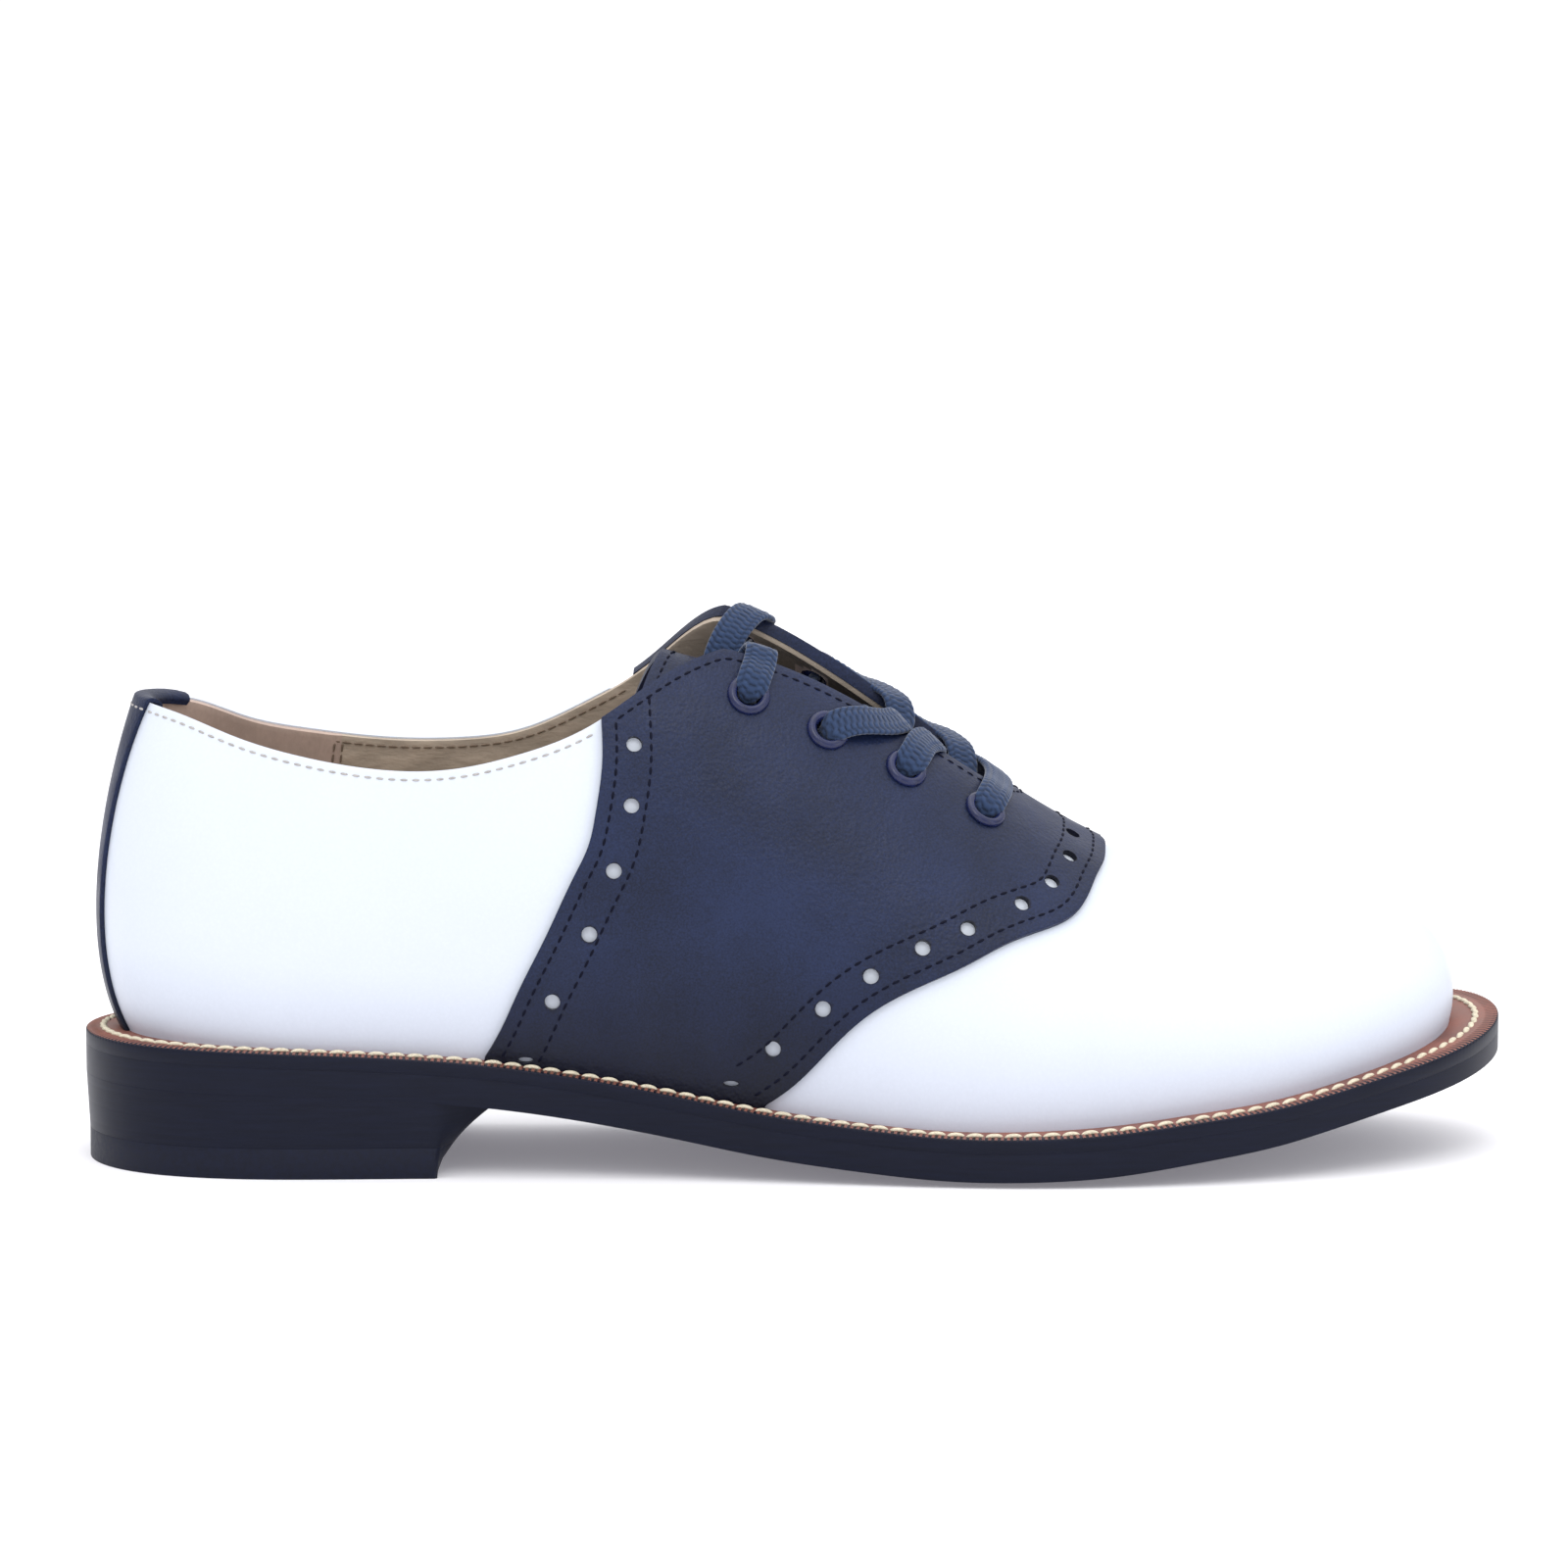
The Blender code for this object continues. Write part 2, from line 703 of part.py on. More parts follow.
def angle_for_offset(offset, rise):
    """Angle at the back of the heel where the surface lies a distance to the side of its middle."""
    side = -1 if offset < 0 else 1
    low, high = 0.0, 1.0
    for _ in range(30):
        middle = (low + high) / 2
        angle = middle if side < 0 else 2 * math.pi - middle
        if abs(foot_surface(angle, rise)[1]) < abs(offset):
            low = middle
        else:
            high = middle
    return low if side < 0 else 2 * math.pi - low


def make_tongue(look):
    """Leather tongue under the facings, from inside the vamp to past the top of the throat."""
    columns, rows = 10, 6
    points, faces = [], []
    for i in range(columns + 1):
        for j in range(2 * rows + 1):
            side = -1 if j < rows else 1
            across = abs(j / rows - 1)
            top = TONGUE_TOP - TONGUE_CORNER * across ** 1.5
            share = top + (TONGUE_FOOT - top) * i / columns
            sag = TONGUE_SAG * (1 - ease_over(share, TONGUE_SAG_SPAN))
            width = TONGUE_RISE - TONGUE_TAPER * ease_over(share, TONGUE_TAPER_SPAN)
            place = on_surface(angle_at(share, side), 1 - width * across, -TONGUE_DEPTH)
            points.append(place - (0.0, 0.0, sag))
    line = 2 * rows + 1
    for i in range(columns):
        for j in range(line - 1):
            a = i * line + j
            faces.append((a, a + line, a + line + 1, a + 1))
    item = sheet("tongue", points, faces)
    thicken(item, TONGUE_THICKNESS, -1)
    return finish(item, look)


def eyelet_frame(row, side):
    """Place and outward direction of an eyelet on the foot surface."""
    name = "lateral" if side < 0 else "medial"
    share = column(EYELET_ROWS, EYELET_COLUMNS, "share")[row]
    rise = column(EYELET_ROWS, EYELET_COLUMNS, name)[row]
    angle = angle_at(share, side)
    normal = Vector(surface_normal(angle, rise))
    place = Vector(foot_surface(angle, rise))
    turn = normal.to_track_quat("Z", "Y").to_matrix().to_4x4()
    return Matrix.Translation(place) @ turn


def eyelet_places():
    """Every eyelet's side and row."""
    return [(side, row) for side in (-1, 1) for row in range(len(EYELET_ROWS))]


def turned(name, profile, frame, group="saddle_shoe"):
    """Ring turned from a closed profile of radius and height, in a frame."""
    points, faces = [], []
    count = len(profile)
    for i in range(ROUND_SIDES):
        turn = 2 * math.pi * i / ROUND_SIDES
        for radius, height in profile:
            points.append(frame @ Vector((radius * math.cos(turn), radius * math.sin(turn), height)))
    for i in range(ROUND_SIDES):
        ahead = (i + 1) % ROUND_SIDES
        for j in range(count):
            after = (j + 1) % count
            faces.append((i * count + j, ahead * count + j, ahead * count + after, i * count + after))
    return solid(name, points, faces, group)


def make_eyelets(look):
    """Enamelled metal eyelets: a flange on the saddle and a barrel through both leathers."""
    top = EYELET_SEAT + EYELET_FLANGE
    profile = (
        (EYELET_BORE, -UPPER_WALL),
        (EYELET_BARREL, -UPPER_WALL),
        (EYELET_BARREL, EYELET_SEAT),
        (EYELET_RADIUS, EYELET_SEAT),
        (EYELET_RADIUS - EYELET_FLANGE / 2, top),
        (EYELET_BORE + EYELET_FLANGE / 2, top),
        (EYELET_BORE, EYELET_SEAT),
    )
    for side, row in eyelet_places():
        name = "eyelet_%s_%d" % ("lateral" if side < 0 else "medial", row + 1)
        finish(turned(name, profile, eyelet_frame(row, side)), look)


def rod(name, frame, radius, low, high, sides):
    """Round rod along a frame's Z axis, kept as a cutter or a part of a union."""
    work = bmesh.new()
    place = frame @ Matrix.Translation((0, 0, (low + high) / 2))
    bmesh.ops.create_cone(work, cap_ends=True, segments=sides, radius1=radius, radius2=radius,
                          depth=high - low, matrix=place)
    mesh = bpy.data.meshes.new(name)
    work.to_mesh(mesh)
    work.free()
    return as_cutter(placed(bpy.data.objects.new(name, mesh), "cutters"))


def joined(name, items, group="cutters"):
    """One mesh holding several bodies that don't meet."""
    work = bmesh.new()
    for item in items:
        work.from_mesh(item.data)
        bpy.data.objects.remove(item, do_unlink=True)
    mesh = bpy.data.meshes.new(name)
    work.to_mesh(mesh)
    work.free()
    return placed(bpy.data.objects.new(name, mesh), group)


def make_holes():
    """Cutter of every eyelet hole."""
    rods = [rod("hole", eyelet_frame(row, side), EYELET_HOLE, -EYELET_REACH, EYELET_REACH, ROUND_SIDES)
            for side, row in eyelet_places()]
    return as_cutter(joined("eyelet_holes", rods))


def eyelet_stop(row, side, depth):
    """Stop of a lace at an eyelet."""
    name = "lateral" if side < 0 else "medial"
    share = column(EYELET_ROWS, EYELET_COLUMNS, "share")[row]
    rise = column(EYELET_ROWS, EYELET_COLUMNS, name)[row]
    return share, side * (1 - rise), depth


def edge_stop(share, side, depth, past=0.0):
    """Stop of a lace at the facing's edge; past moves it from the edge toward the throat."""
    return share, side * (1 - top_rise(share, side) - past), depth


def lace_runs():
    """Each run of the lace as its stops: share of the length, signed way down from the ridge, depth."""
    runs = {}
    runs["bar"] = [eyelet_stop(3, -1, LACE_OVER_EYELET), edge_stop(0.668, -1, LACE_OVER_EDGE),
                   edge_stop(0.668, 1, LACE_OVER_EDGE), eyelet_stop(3, 1, LACE_OVER_EYELET)]
    for name, low, high, side in (("cross_a", 3, 2, -1), ("cross_b", 3, 2, 1),
                                  ("cross_c", 2, 1, 1), ("cross_d", 2, 1, -1)):
        start, end = EYELET_ROWS[low][0], EYELET_ROWS[high][0]
        runs[name] = [
            eyelet_stop(low, side, LACE_UNDER),
            edge_stop(start - 0.006, side, LACE_UNDER, 0.018),
            edge_stop(end + 0.014, -side, LACE_OVER_EDGE, 0.022),
            eyelet_stop(high, -side, LACE_OVER_EYELET),
        ]
    edge = EYELET_ROWS[0][0]
    for name, side in (("lateral", -1), ("medial", 1)):
        runs["rise_" + name] = [eyelet_stop(1, side, LACE_UNDER), eyelet_stop(0, side, LACE_UNDER)]
        runs["tuck_" + name] = [
            eyelet_stop(0, side, LACE_OVER_EYELET),
            edge_stop(edge, side, LACE_OVER_EDGE, -0.010),
            edge_stop(edge, side, LACE_OVER_EDGE, 0.022),
            edge_stop(edge, side, LACE_UNDER, 0.034),
        ]
    return runs


def run_curve(stops, steps):
    """Smooth path through a run's stops, in shares and depths."""
    marks = np.array(stops, float)
    reach = [0.0]
    for one, two in zip(marks, marks[1:]):
        reach.append(reach[-1] + float(np.linalg.norm((two - one) * (1.0, 1.0, 20.0))))
    readers = [natural_curve(reach, marks[:, k]) for k in range(3)]
    return [[read(reach[-1] * i / steps) for read in readers] for i in range(steps + 1)]


def lace_point(share, way, depth):
    """Point and outward direction of the lace's path."""
    side = -1 if way < 0 else 1
    angle, rise = angle_at(share, side), 1 - abs(way)
    return on_surface(angle, rise, depth), surface_normal(angle, rise)


def ribbon(name, stops):
    """Flat lace along a run, narrowed where it enters an eyelet."""
    steps = LACE_STEPS
    path = [lace_point(*mark) for mark in run_curve(stops, steps)]
    points, faces = [], []
    corners = ((-1, 0), (-0.8, -1), (0.8, -1), (1, 0), (0.8, 1), (-0.8, 1))
    across = None
    for i, (place, normal) in enumerate(path):
        ahead = path[min(i + 1, steps)][0] - path[max(i - 1, 0)][0]
        ahead /= np.linalg.norm(ahead)
        flat = np.cross(ahead, normal)
        if across is not None:
            carried = across - ahead * np.dot(across, ahead)
            flat = flat + carried * (1 - np.dot(flat, flat))
        across = flat / np.linalg.norm(flat)
        up = np.cross(across, ahead)
        part = i / steps
        full = ease(min(part, 1 - part) / 0.25)
        if name.startswith("tuck") and part > 0.5:
            full = 1.0
        half = (LACE_NECK + (LACE_WIDTH - LACE_NECK) * full) / 2
        for wide, high in corners:
            points.append(place + across * half * wide + up * LACE_THICKNESS / 2 * high)
    count = len(corners)
    for i in range(steps):
        for j in range(count):
            a, b = i * count + j, i * count + (j + 1) % count
            faces.append((a, b, b + count, a + count))
    faces.append(tuple(range(count)))
    faces.append(tuple(range(steps * count, (steps + 1) * count)))
    return solid(name, points, faces, "cutters")


def make_laces(look):
    """The flat lace: a bar, four crossings, two rises and two tucked ends, joined in the eyelets."""
    rods = []
    for side, row in eyelet_places():
        low, high = LACE_UNDER - LACE_THICKNESS / 4, LACE_OVER_EYELET + LACE_THICKNESS / 4
        rods.append(rod("neck", eyelet_frame(row, side), LACE_NECK / 2, low, high, ROUND_SIDES))
    item = joined("laces", rods, "saddle_shoe")
    for name, stops in lace_runs().items():
        boolean(item, as_cutter(ribbon(name, stops)), "UNION")
    return finish(item, look)


def build():
    """Makes every piece of the shoe."""
    clear_scene()
    white = material("white_leather", (0.86, 0.88, 0.92), 0.35)
    navy = material("navy_leather", (0.035, 0.040, 0.085), 0.42)
    edge = material("painted_edge", (0.018, 0.020, 0.040), 0.38)
    welt = material("welt_leather", (0.30, 0.10, 0.06), 0.55)
    lining = material("lining_leather", (0.34, 0.26, 0.20), 0.60)
    enamel = material("navy_enamel", (0.040, 0.045, 0.140), 0.30, 0.4)
    cotton = material("navy_cotton", (0.050, 0.075, 0.160), 0.85)
    tread = material("tread_rubber", (0.015, 0.015, 0.018), 0.60)

    holes = make_holes()
    make_outsole(edge)
    make_midsole(welt)
    make_heel(edge)
    make_top_piece(tread)
    make_insole(lining)
    make_upper(white, holes)
    make_saddle(navy, holes)
    make_heel_strip(navy)
    make_tongue(navy)
    make_eyelets(enamel)
    make_laces(cotton)


build()
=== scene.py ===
"""Laced saddle shoe, right foot, dressed in its leathers, welt, stitching, eyelets and flat lace.

The shoe points along +X and its inner (medial) side is +Y. Leather pieces lie on one foot surface:
an angle runs round the shoe from the heel (0) over the outer side to the toe (pi) and back along
the inner side, and a rise runs from 0 at the welt to 1 at the ridge of the instep.
"""

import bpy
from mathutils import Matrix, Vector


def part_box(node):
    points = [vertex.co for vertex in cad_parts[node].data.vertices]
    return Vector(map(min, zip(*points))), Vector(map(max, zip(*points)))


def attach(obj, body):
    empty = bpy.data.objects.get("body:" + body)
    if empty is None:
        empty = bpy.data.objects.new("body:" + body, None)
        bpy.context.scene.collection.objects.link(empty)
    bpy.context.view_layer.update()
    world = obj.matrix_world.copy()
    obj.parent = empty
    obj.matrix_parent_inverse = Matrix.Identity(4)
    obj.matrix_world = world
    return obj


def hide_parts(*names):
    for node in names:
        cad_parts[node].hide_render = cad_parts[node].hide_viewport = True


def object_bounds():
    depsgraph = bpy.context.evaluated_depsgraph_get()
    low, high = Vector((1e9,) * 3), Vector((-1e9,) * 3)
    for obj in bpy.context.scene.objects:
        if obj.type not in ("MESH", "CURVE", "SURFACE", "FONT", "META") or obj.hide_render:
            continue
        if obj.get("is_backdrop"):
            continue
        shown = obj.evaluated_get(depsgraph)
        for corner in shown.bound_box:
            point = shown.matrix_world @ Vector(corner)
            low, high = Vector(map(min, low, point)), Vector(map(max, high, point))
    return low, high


bl_info = {
    "name": "Saddle Shoe",
    "version": (1, 0, 0),
    "blender": (4, 5, 0),
    "location": "3D View > Sidebar > Shoe",
    "description": "Dresses the plain solids of a laced saddle shoe",
    "category": "Object",
}

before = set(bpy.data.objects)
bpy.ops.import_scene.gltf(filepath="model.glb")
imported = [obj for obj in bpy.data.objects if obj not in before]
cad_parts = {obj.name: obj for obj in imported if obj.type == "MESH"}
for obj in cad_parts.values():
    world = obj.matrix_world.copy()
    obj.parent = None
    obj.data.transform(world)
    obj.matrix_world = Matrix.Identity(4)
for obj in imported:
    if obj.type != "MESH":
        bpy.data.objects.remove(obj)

import contextlib
import math

import bpy
import numpy as np
from mathutils import Matrix, Vector

MM = 0.001
SOLE_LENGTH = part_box("midsole")[1].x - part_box("midsole")[0].x
HALF_BALL = 97 * MM / 2
HEEL_SEAT_HEIGHT = 25.6 * MM
INSTEP_HEIGHT = 105 * MM
TOE_SWING = 5 * MM
TOE_TWIST = 0.10
GAP = 0.3 * MM
HEEL_LENGTH = 69 * MM
WELT_THICKNESS = 3.2 * MM
EDGE_HEEL = 8.6 * MM
EDGE_TOE = 7.0 * MM
TREAD_CROWN = 1.5 * MM
TOP_PIECE = 6 * MM
UPPER_WALL = 2.0 * MM
TONGUE_DEPTH = 4.7 * MM
TONGUE_SAG = 7.6 * MM
LACE_UNDER = -3.5 * MM
TURN = 2 * math.pi
# Share of the rise by which the leathers reach down behind the welt
TUCK = 0.012
EYELET_BORE = 3.0 * MM
STRIP_HALF = 8.0 * MM
# Half the tongue's width, as a way down from the ridge
TONGUE_HALF = 0.330
# Rough lengths in mm of a whole share of the length, and of a whole rise at waist and instep
SHARE_MM, WAIST_RISE_MM, INSTEP_RISE_MM = 279, 95, 78

# Half widths of the sole, as shares of half the ball width: share of the length, lateral, medial
SOLE_ROWS = (
    (0.00, 0.000, 0.000), (0.03, 0.440, 0.440), (0.12, 0.672, 0.668), (0.25, 0.690, 0.650),
    (0.40, 0.772, 0.600), (0.52, 0.910, 0.695), (0.62, 1.020, 0.868), (0.70, 1.045, 0.955),
    (0.80, 0.975, 0.920), (0.90, 0.765, 0.760), (0.96, 0.520, 0.545), (1.00, 0.000, 0.000),
)
# Height of the sole's upper face along its length, as a share of the heel seat's height
SEAT_ROWS = (
    (0.00, 1.000), (0.14, 0.965), (0.22, 0.926), (0.29, 0.863), (0.35, 0.773), (0.42, 0.637),
    (0.47, 0.535), (0.54, 0.438), (0.59, 0.391), (0.65, 0.383), (0.71, 0.418), (0.77, 0.492),
    (0.85, 0.620), (0.90, 0.780), (0.95, 0.935), (1.00, 1.055),
)
# Sections of the foot surface: share of the length, feather, swell and shoulder half widths on the
# outer and the inner side, height of the swell, drop of the shoulder and height of the ridge
SECTION_ROWS = (
    (0.00, 0.000, 0.000, 0.000, 0.000, 0.000, 0.000, 0.186, 0.314, 1.152),
    (0.03, 0.384, 0.384, 0.464, 0.464, 0.330, 0.330, 0.195, 0.295, 1.152),
    (0.12, 0.584, 0.579, 0.697, 0.689, 0.505, 0.501, 0.219, 0.229, 1.149),
    (0.25, 0.598, 0.557, 0.742, 0.701, 0.557, 0.536, 0.248, 0.124, 1.130),
    (0.37, 0.652, 0.524, 0.784, 0.691, 0.495, 0.485, 0.286, 0.043, 1.080),
    (0.48, 0.742, 0.557, 0.845, 0.722, 0.433, 0.433, 0.295, 0.010, 0.995),
    (0.60, 0.866, 0.701, 0.928, 0.804, 0.454, 0.443, 0.248, 0.000, 0.836),
    (0.71, 0.897, 0.814, 0.959, 0.887, 0.515, 0.505, 0.181, 0.000, 0.668),
    (0.81, 0.835, 0.794, 0.897, 0.856, 0.526, 0.515, 0.152, 0.000, 0.552),
    (0.90, 0.680, 0.652, 0.753, 0.722, 0.464, 0.443, 0.138, 0.000, 0.486),
    (0.96, 0.474, 0.452, 0.536, 0.509, 0.340, 0.326, 0.124, 0.000, 0.473),
    (1.00, 0.000, 0.000, 0.000, 0.000, 0.000, 0.000, 0.114, 0.000, 0.472),
)
LEVEL_SPAN = {"feather": (0.027, 0.965), "swell": (-0.009, 0.977),
              "shoulder": (0.020, 0.946), "ridge": (0.090, 0.882)}
# The collar's and the facings' edge: share of the length, rise on the outer and the inner side
TOPLINE_ROWS = (
    (0.000, 0.705, 0.705), (0.040, 0.672, 0.680), (0.090, 0.617, 0.622), (0.140, 0.570, 0.580),
    (0.200, 0.530, 0.544), (0.260, 0.517, 0.528), (0.310, 0.537, 0.540), (0.360, 0.588, 0.600),
    (0.410, 0.690, 0.715), (0.456, 0.787, 0.930),
)
FACING_ROWS = (
    (0.456, 0.787, 0.930), (0.500, 0.803, 0.955), (0.550, 0.820, 0.955), (0.600, 0.838, 0.955),
    (0.650, 0.865, 0.962), (0.685, 0.900, 0.975), (0.711, 1.000, 1.000),
)
FACING_START, THROAT_END = 0.456, 0.711
MEDIAL_SHIFT = 0.025

# The saddle's cut edges on the outer side, from the welt up: share of the length and rise
SADDLE_REAR = (
    (0.270, 0.000), (0.288, 0.075), (0.304, 0.151), (0.327, 0.250), (0.349, 0.349),
    (0.359, 0.396), (0.364, 0.447), (0.368, 0.526), (0.366, 0.600),
)
SADDLE_FRONT = (
    (0.473, 0.000), (0.498, 0.054), (0.526, 0.131), (0.554, 0.205), (0.587, 0.272),
    (0.630, 0.354), (0.664, 0.433), (0.695, 0.500), (0.715, 0.550), (0.732, 0.620),
    (0.747, 0.710), (0.762, 0.795), (0.775, 0.890), (0.786, 1.000),
)
REAR_HOLES = ((0.391, 0.559), (0.390, 0.461), (0.377, 0.358), (0.358, 0.256), (0.328, 0.137),
              (0.302, 0.012))
FRONT_HOLES = ((0.453, 0.038), (0.486, 0.118), (0.524, 0.204), (0.560, 0.280), (0.599, 0.359),
               (0.634, 0.429), (0.678, 0.534), (0.706, 0.628), (0.729, 0.743), (0.744, 0.865),
               (0.751, 1.000))
# Eyelets, top pair first: share of the length, rise on the outer and the inner side
EYELET_ROWS = ((0.476, 0.698, 0.852), (0.537, 0.697, 0.850),
               (0.598, 0.713, 0.842), (0.661, 0.737, 0.838))
LATERAL, MEDIAL = SIDES = -1, 1


# ---- the foot surface

def curve_through(xs, ys, period=None):
    """Smooth curve through a table's points; with a period it runs on into itself."""
    xs, ys = np.array(xs, float), np.array(ys, float)
    if period:
        xs, ys = np.append(xs, xs[0] + period), np.append(ys, ys[0])
    step = np.diff(xs)
    slope = np.diff(ys) / step
    matrix, right = np.eye(len(xs)), np.zeros(len(xs))
    for i in range(1, len(xs) - 1):
        matrix[i, i - 1:i + 2] = step[i - 1], 2 * (step[i - 1] + step[i]), step[i]
        right[i] = 6 * (slope[i] - slope[i - 1])
    if period:
        matrix[0, -1] = -1
        matrix[-1, [0, 1]] = 2 * step[0], step[0]
        matrix[-1, [-2, -1]] = step[-1], 2 * step[-1]
        right[-1] = 6 * (slope[0] - slope[-1])
    bend = np.linalg.solve(matrix, right)

    def read(x):
        x = np.asarray(x, float)
        x = (x - xs[0]) % period + xs[0] if period else np.clip(x, xs[0], xs[-1])
        i = np.clip(np.searchsorted(xs, x, side="right") - 1, 0, len(xs) - 2)
        low, high = x - xs[i], xs[i + 1] - x
        return ((bend[i] * high ** 3 + bend[i + 1] * low ** 3) / (6 * step[i])
                + (ys[i] / step[i] - bend[i] * step[i] / 6) * high
                + (ys[i + 1] / step[i] - bend[i + 1] * step[i] / 6) * low)
    return read


def column(rows, place):
    """One column of a table."""
    return [row[place] for row in rows]


def table_curve(rows, place=1):
    """Curve of one column over the first."""
    return curve_through(column(rows, 0), column(rows, place))


def around(rows, lateral, medial, unit, signed=True):
    """A table's size round the shoe as a function of the angle."""
    angles = [math.acos(1 - 2 * share) for share in column(rows, 0)]
    near = [(-value if signed else value) * unit for value in column(rows, lateral)]
    far = [value * unit for value in column(rows, medial)][1:-1]
    turned = [TURN - angle for angle in angles[1:-1]]
    return curve_through(angles + turned[::-1], near + far[::-1], TURN)


sole_width = around(SOLE_ROWS, 1, 2, HALF_BALL)
seat_height = table_curve(SEAT_ROWS)
WIDTH = {name: around(SECTION_ROWS, place, place + 1, HALF_BALL)
         for name, place in (("feather", 1), ("swell", 3), ("shoulder", 5))}
swell_height, shoulder_drop, ridge_height = (
    around(SECTION_ROWS, place, place, INSTEP_HEIGHT, signed=False) for place in (7, 8, 9))
TOPLINE, FACING = ({LATERAL: table_curve(rows, 1), MEDIAL: table_curve(rows, 2)}
                   for rows in (TOPLINE_ROWS, FACING_ROWS))


def ease(value):
    """Smooth step from 0 to 1."""
    value = np.clip(value, 0.0, 1.0)
    return value * value * (3 - 2 * value)


def share_at(angle):
    """Share of the length at an angle round the shoe."""
    return (1 - np.cos(angle)) / 2


def angle_at(share, side):
    """Angle round the shoe at a share of the length on one side."""
    angle = np.arccos(1 - 2 * np.clip(share, 0.0, 1.0))
    return np.where(np.asarray(side) < 0, angle, TURN - angle)


def from_heel(angle):
    """Angle from the heel's middle, on whichever side it lies."""
    return np.minimum(angle % TURN, -angle % TURN)


def swing(share):
    """Sideways place of the shoe's middle line."""
    return TOE_SWING * share ** 2


def seat(x, y):
    """Height of the sole's upper face, with x from the heel's back."""
    share = x / SOLE_LENGTH
    twist_start = 0.84
    twist = TOE_TWIST * ease((share - twist_start) / (1 - twist_start))
    return HEEL_SEAT_HEIGHT * seat_height(share) + twist * (y - swing(share))


def sole_edge(angle, inset=0.0):
    """Point of the sole's outline, drawn in by an inset."""
    share = share_at(angle)
    x = inset + (SOLE_LENGTH - 2 * inset) * share
    return x, swing(share) + sole_width(angle) * (1 - inset / HALF_BALL)


def edge_height(x):
    """Height of the sole's side."""
    start, run = 0.68, 0.24
    return EDGE_HEEL + (EDGE_TOE - EDGE_HEEL) * ease((x / SOLE_LENGTH - start) / run)


OUTLINE = sole_edge(np.linspace(0, TURN, 73))[1]
ORIGIN = np.array((SOLE_LENGTH / 2, (OUTLINE.min() + OUTLINE.max()) / 2, 0.0))


def place_at(x, y, z):
    """Points in the frame from lengths that start at the heel's back."""
    return np.stack(np.broadcast_arrays(x, y, z), -1) - ORIGIN


def level(name, angle, height):
    """Control points of the sections on one of their four levels."""
    share = share_at(angle)
    start, end = LEVEL_SPAN[name]
    x = SOLE_LENGTH * (start + (end - start) * share)
    width = WIDTH[name](angle) if name in WIDTH else 0.0
    return x, swing(share) + width, height


def ridge_slope(angle):
    """Rise of the ridge per length, faded out behind the ankle."""
    angle = np.clip(from_heel(angle), 0.02, math.pi - 0.02)
    step = 0.001
    rise = ridge_height(angle + step) - ridge_height(angle - step)
    start, end = LEVEL_SPAN["ridge"]
    run = SOLE_LENGTH * (end - start) * (share_at(angle + step) - share_at(angle - step))
    return rise / run * ease((share_at(angle) - 0.05) / 0.3)


def foot(angle, rise):
    """Points of the upper's outer face; under rise 0 they go straight down into the welt."""
    angle, rise = np.broadcast_arrays(np.asarray(angle, float), np.asarray(rise, float))
    feather = level("feather", angle, 0.0)
    low = seat(feather[0], feather[1]) + GAP
    ridge = level("ridge", angle, ridge_height(angle))
    swell = level("swell", angle, low + swell_height(angle))
    shoulder = level("shoulder", angle, 0.0)
    high = ridge[2] + ridge_slope(angle) * (shoulder[0] - ridge[0]) - shoulder_drop(angle)
    marks = [place_at(feather[0], feather[1], low), place_at(*swell),
             place_at(shoulder[0], shoulder[1], high), place_at(*ridge)]
    up = np.maximum(rise, 0.0)[..., None]
    left = 1 - up
    point = (left ** 3 * marks[0] + 3 * left ** 2 * up * marks[1]
             + 3 * left * up ** 2 * marks[2] + up ** 3 * marks[3])
    point[..., 2] += np.minimum(rise, 0.0) * INSTEP_HEIGHT
    return point


def reach_along(points):
    """Length of the way to each point of a path."""
    return np.append(0, np.cumsum(np.linalg.norm(np.diff(points, axis=0), axis=1)))


def read_at(marks, reach, points):
    """Points of a path at some lengths of the way."""
    return np.stack([np.interp(marks, reach, line) for line in points.T], -1)


def unit(vectors):
    """Vectors of length 1."""
    return vectors / np.maximum(np.linalg.norm(vectors, axis=-1, keepdims=True), 1e-12)


def outward(angle, rise):
    """Outward direction of the foot surface."""
    angle, rise = np.broadcast_arrays(np.asarray(angle, float), np.asarray(rise, float))
    step = 0.004
    low, high = np.clip(rise - step, 0, 1 - step), np.clip(rise + step, step, 1)
    up = foot(angle, high) - foot(angle, low)
    along = foot(angle + step, np.maximum(rise, 0)) - foot(angle - step, np.maximum(rise, 0))
    near = from_heel(angle)
    ridge = foot(np.minimum(near + step, math.pi), 1.0) - foot(near - step, 1.0)
    top = (rise > 1 - step)[..., None]
    along = np.where(top, ridge, along)
    up = np.where(top, (0.0, 1.0, 0.0), up)
    return unit(np.cross(along, up))


def on_foot(angle, rise, depth=0.0):
    """Points outside (+) or inside (-) the foot surface by a depth."""
    return foot(angle, rise) + np.asarray(depth)[..., None] * outward(angle, rise)


def wrapped(share, way, depth=0.0):
    """The same with a signed way down from the ridge, so that a path can cross the ridge."""
    share, way = np.broadcast_arrays(np.asarray(share, float), np.asarray(way, float))
    return on_foot(angle_at(share, np.where(way < 0, -1, 1)), 1 - np.abs(way), depth)


def top_rise(share, side):
    """Rise of the topline, then of the facing's edge, then 1 on the closed ridge."""
    share = np.asarray(share, float)
    edge = np.where(share <= FACING_START, TOPLINE[side](share), FACING[side](share))
    return np.where(share >= THROAT_END - 1e-4, 1.0, edge)


# ---- sizes and colours

def length(name, text, default, low=0.0001, high=0.05):
    """A length that the panel shows."""
    return bpy.props.FloatProperty(name=name, description=text, default=default, min=low, max=high,
                                   precision=4, subtype="DISTANCE", unit="LENGTH")


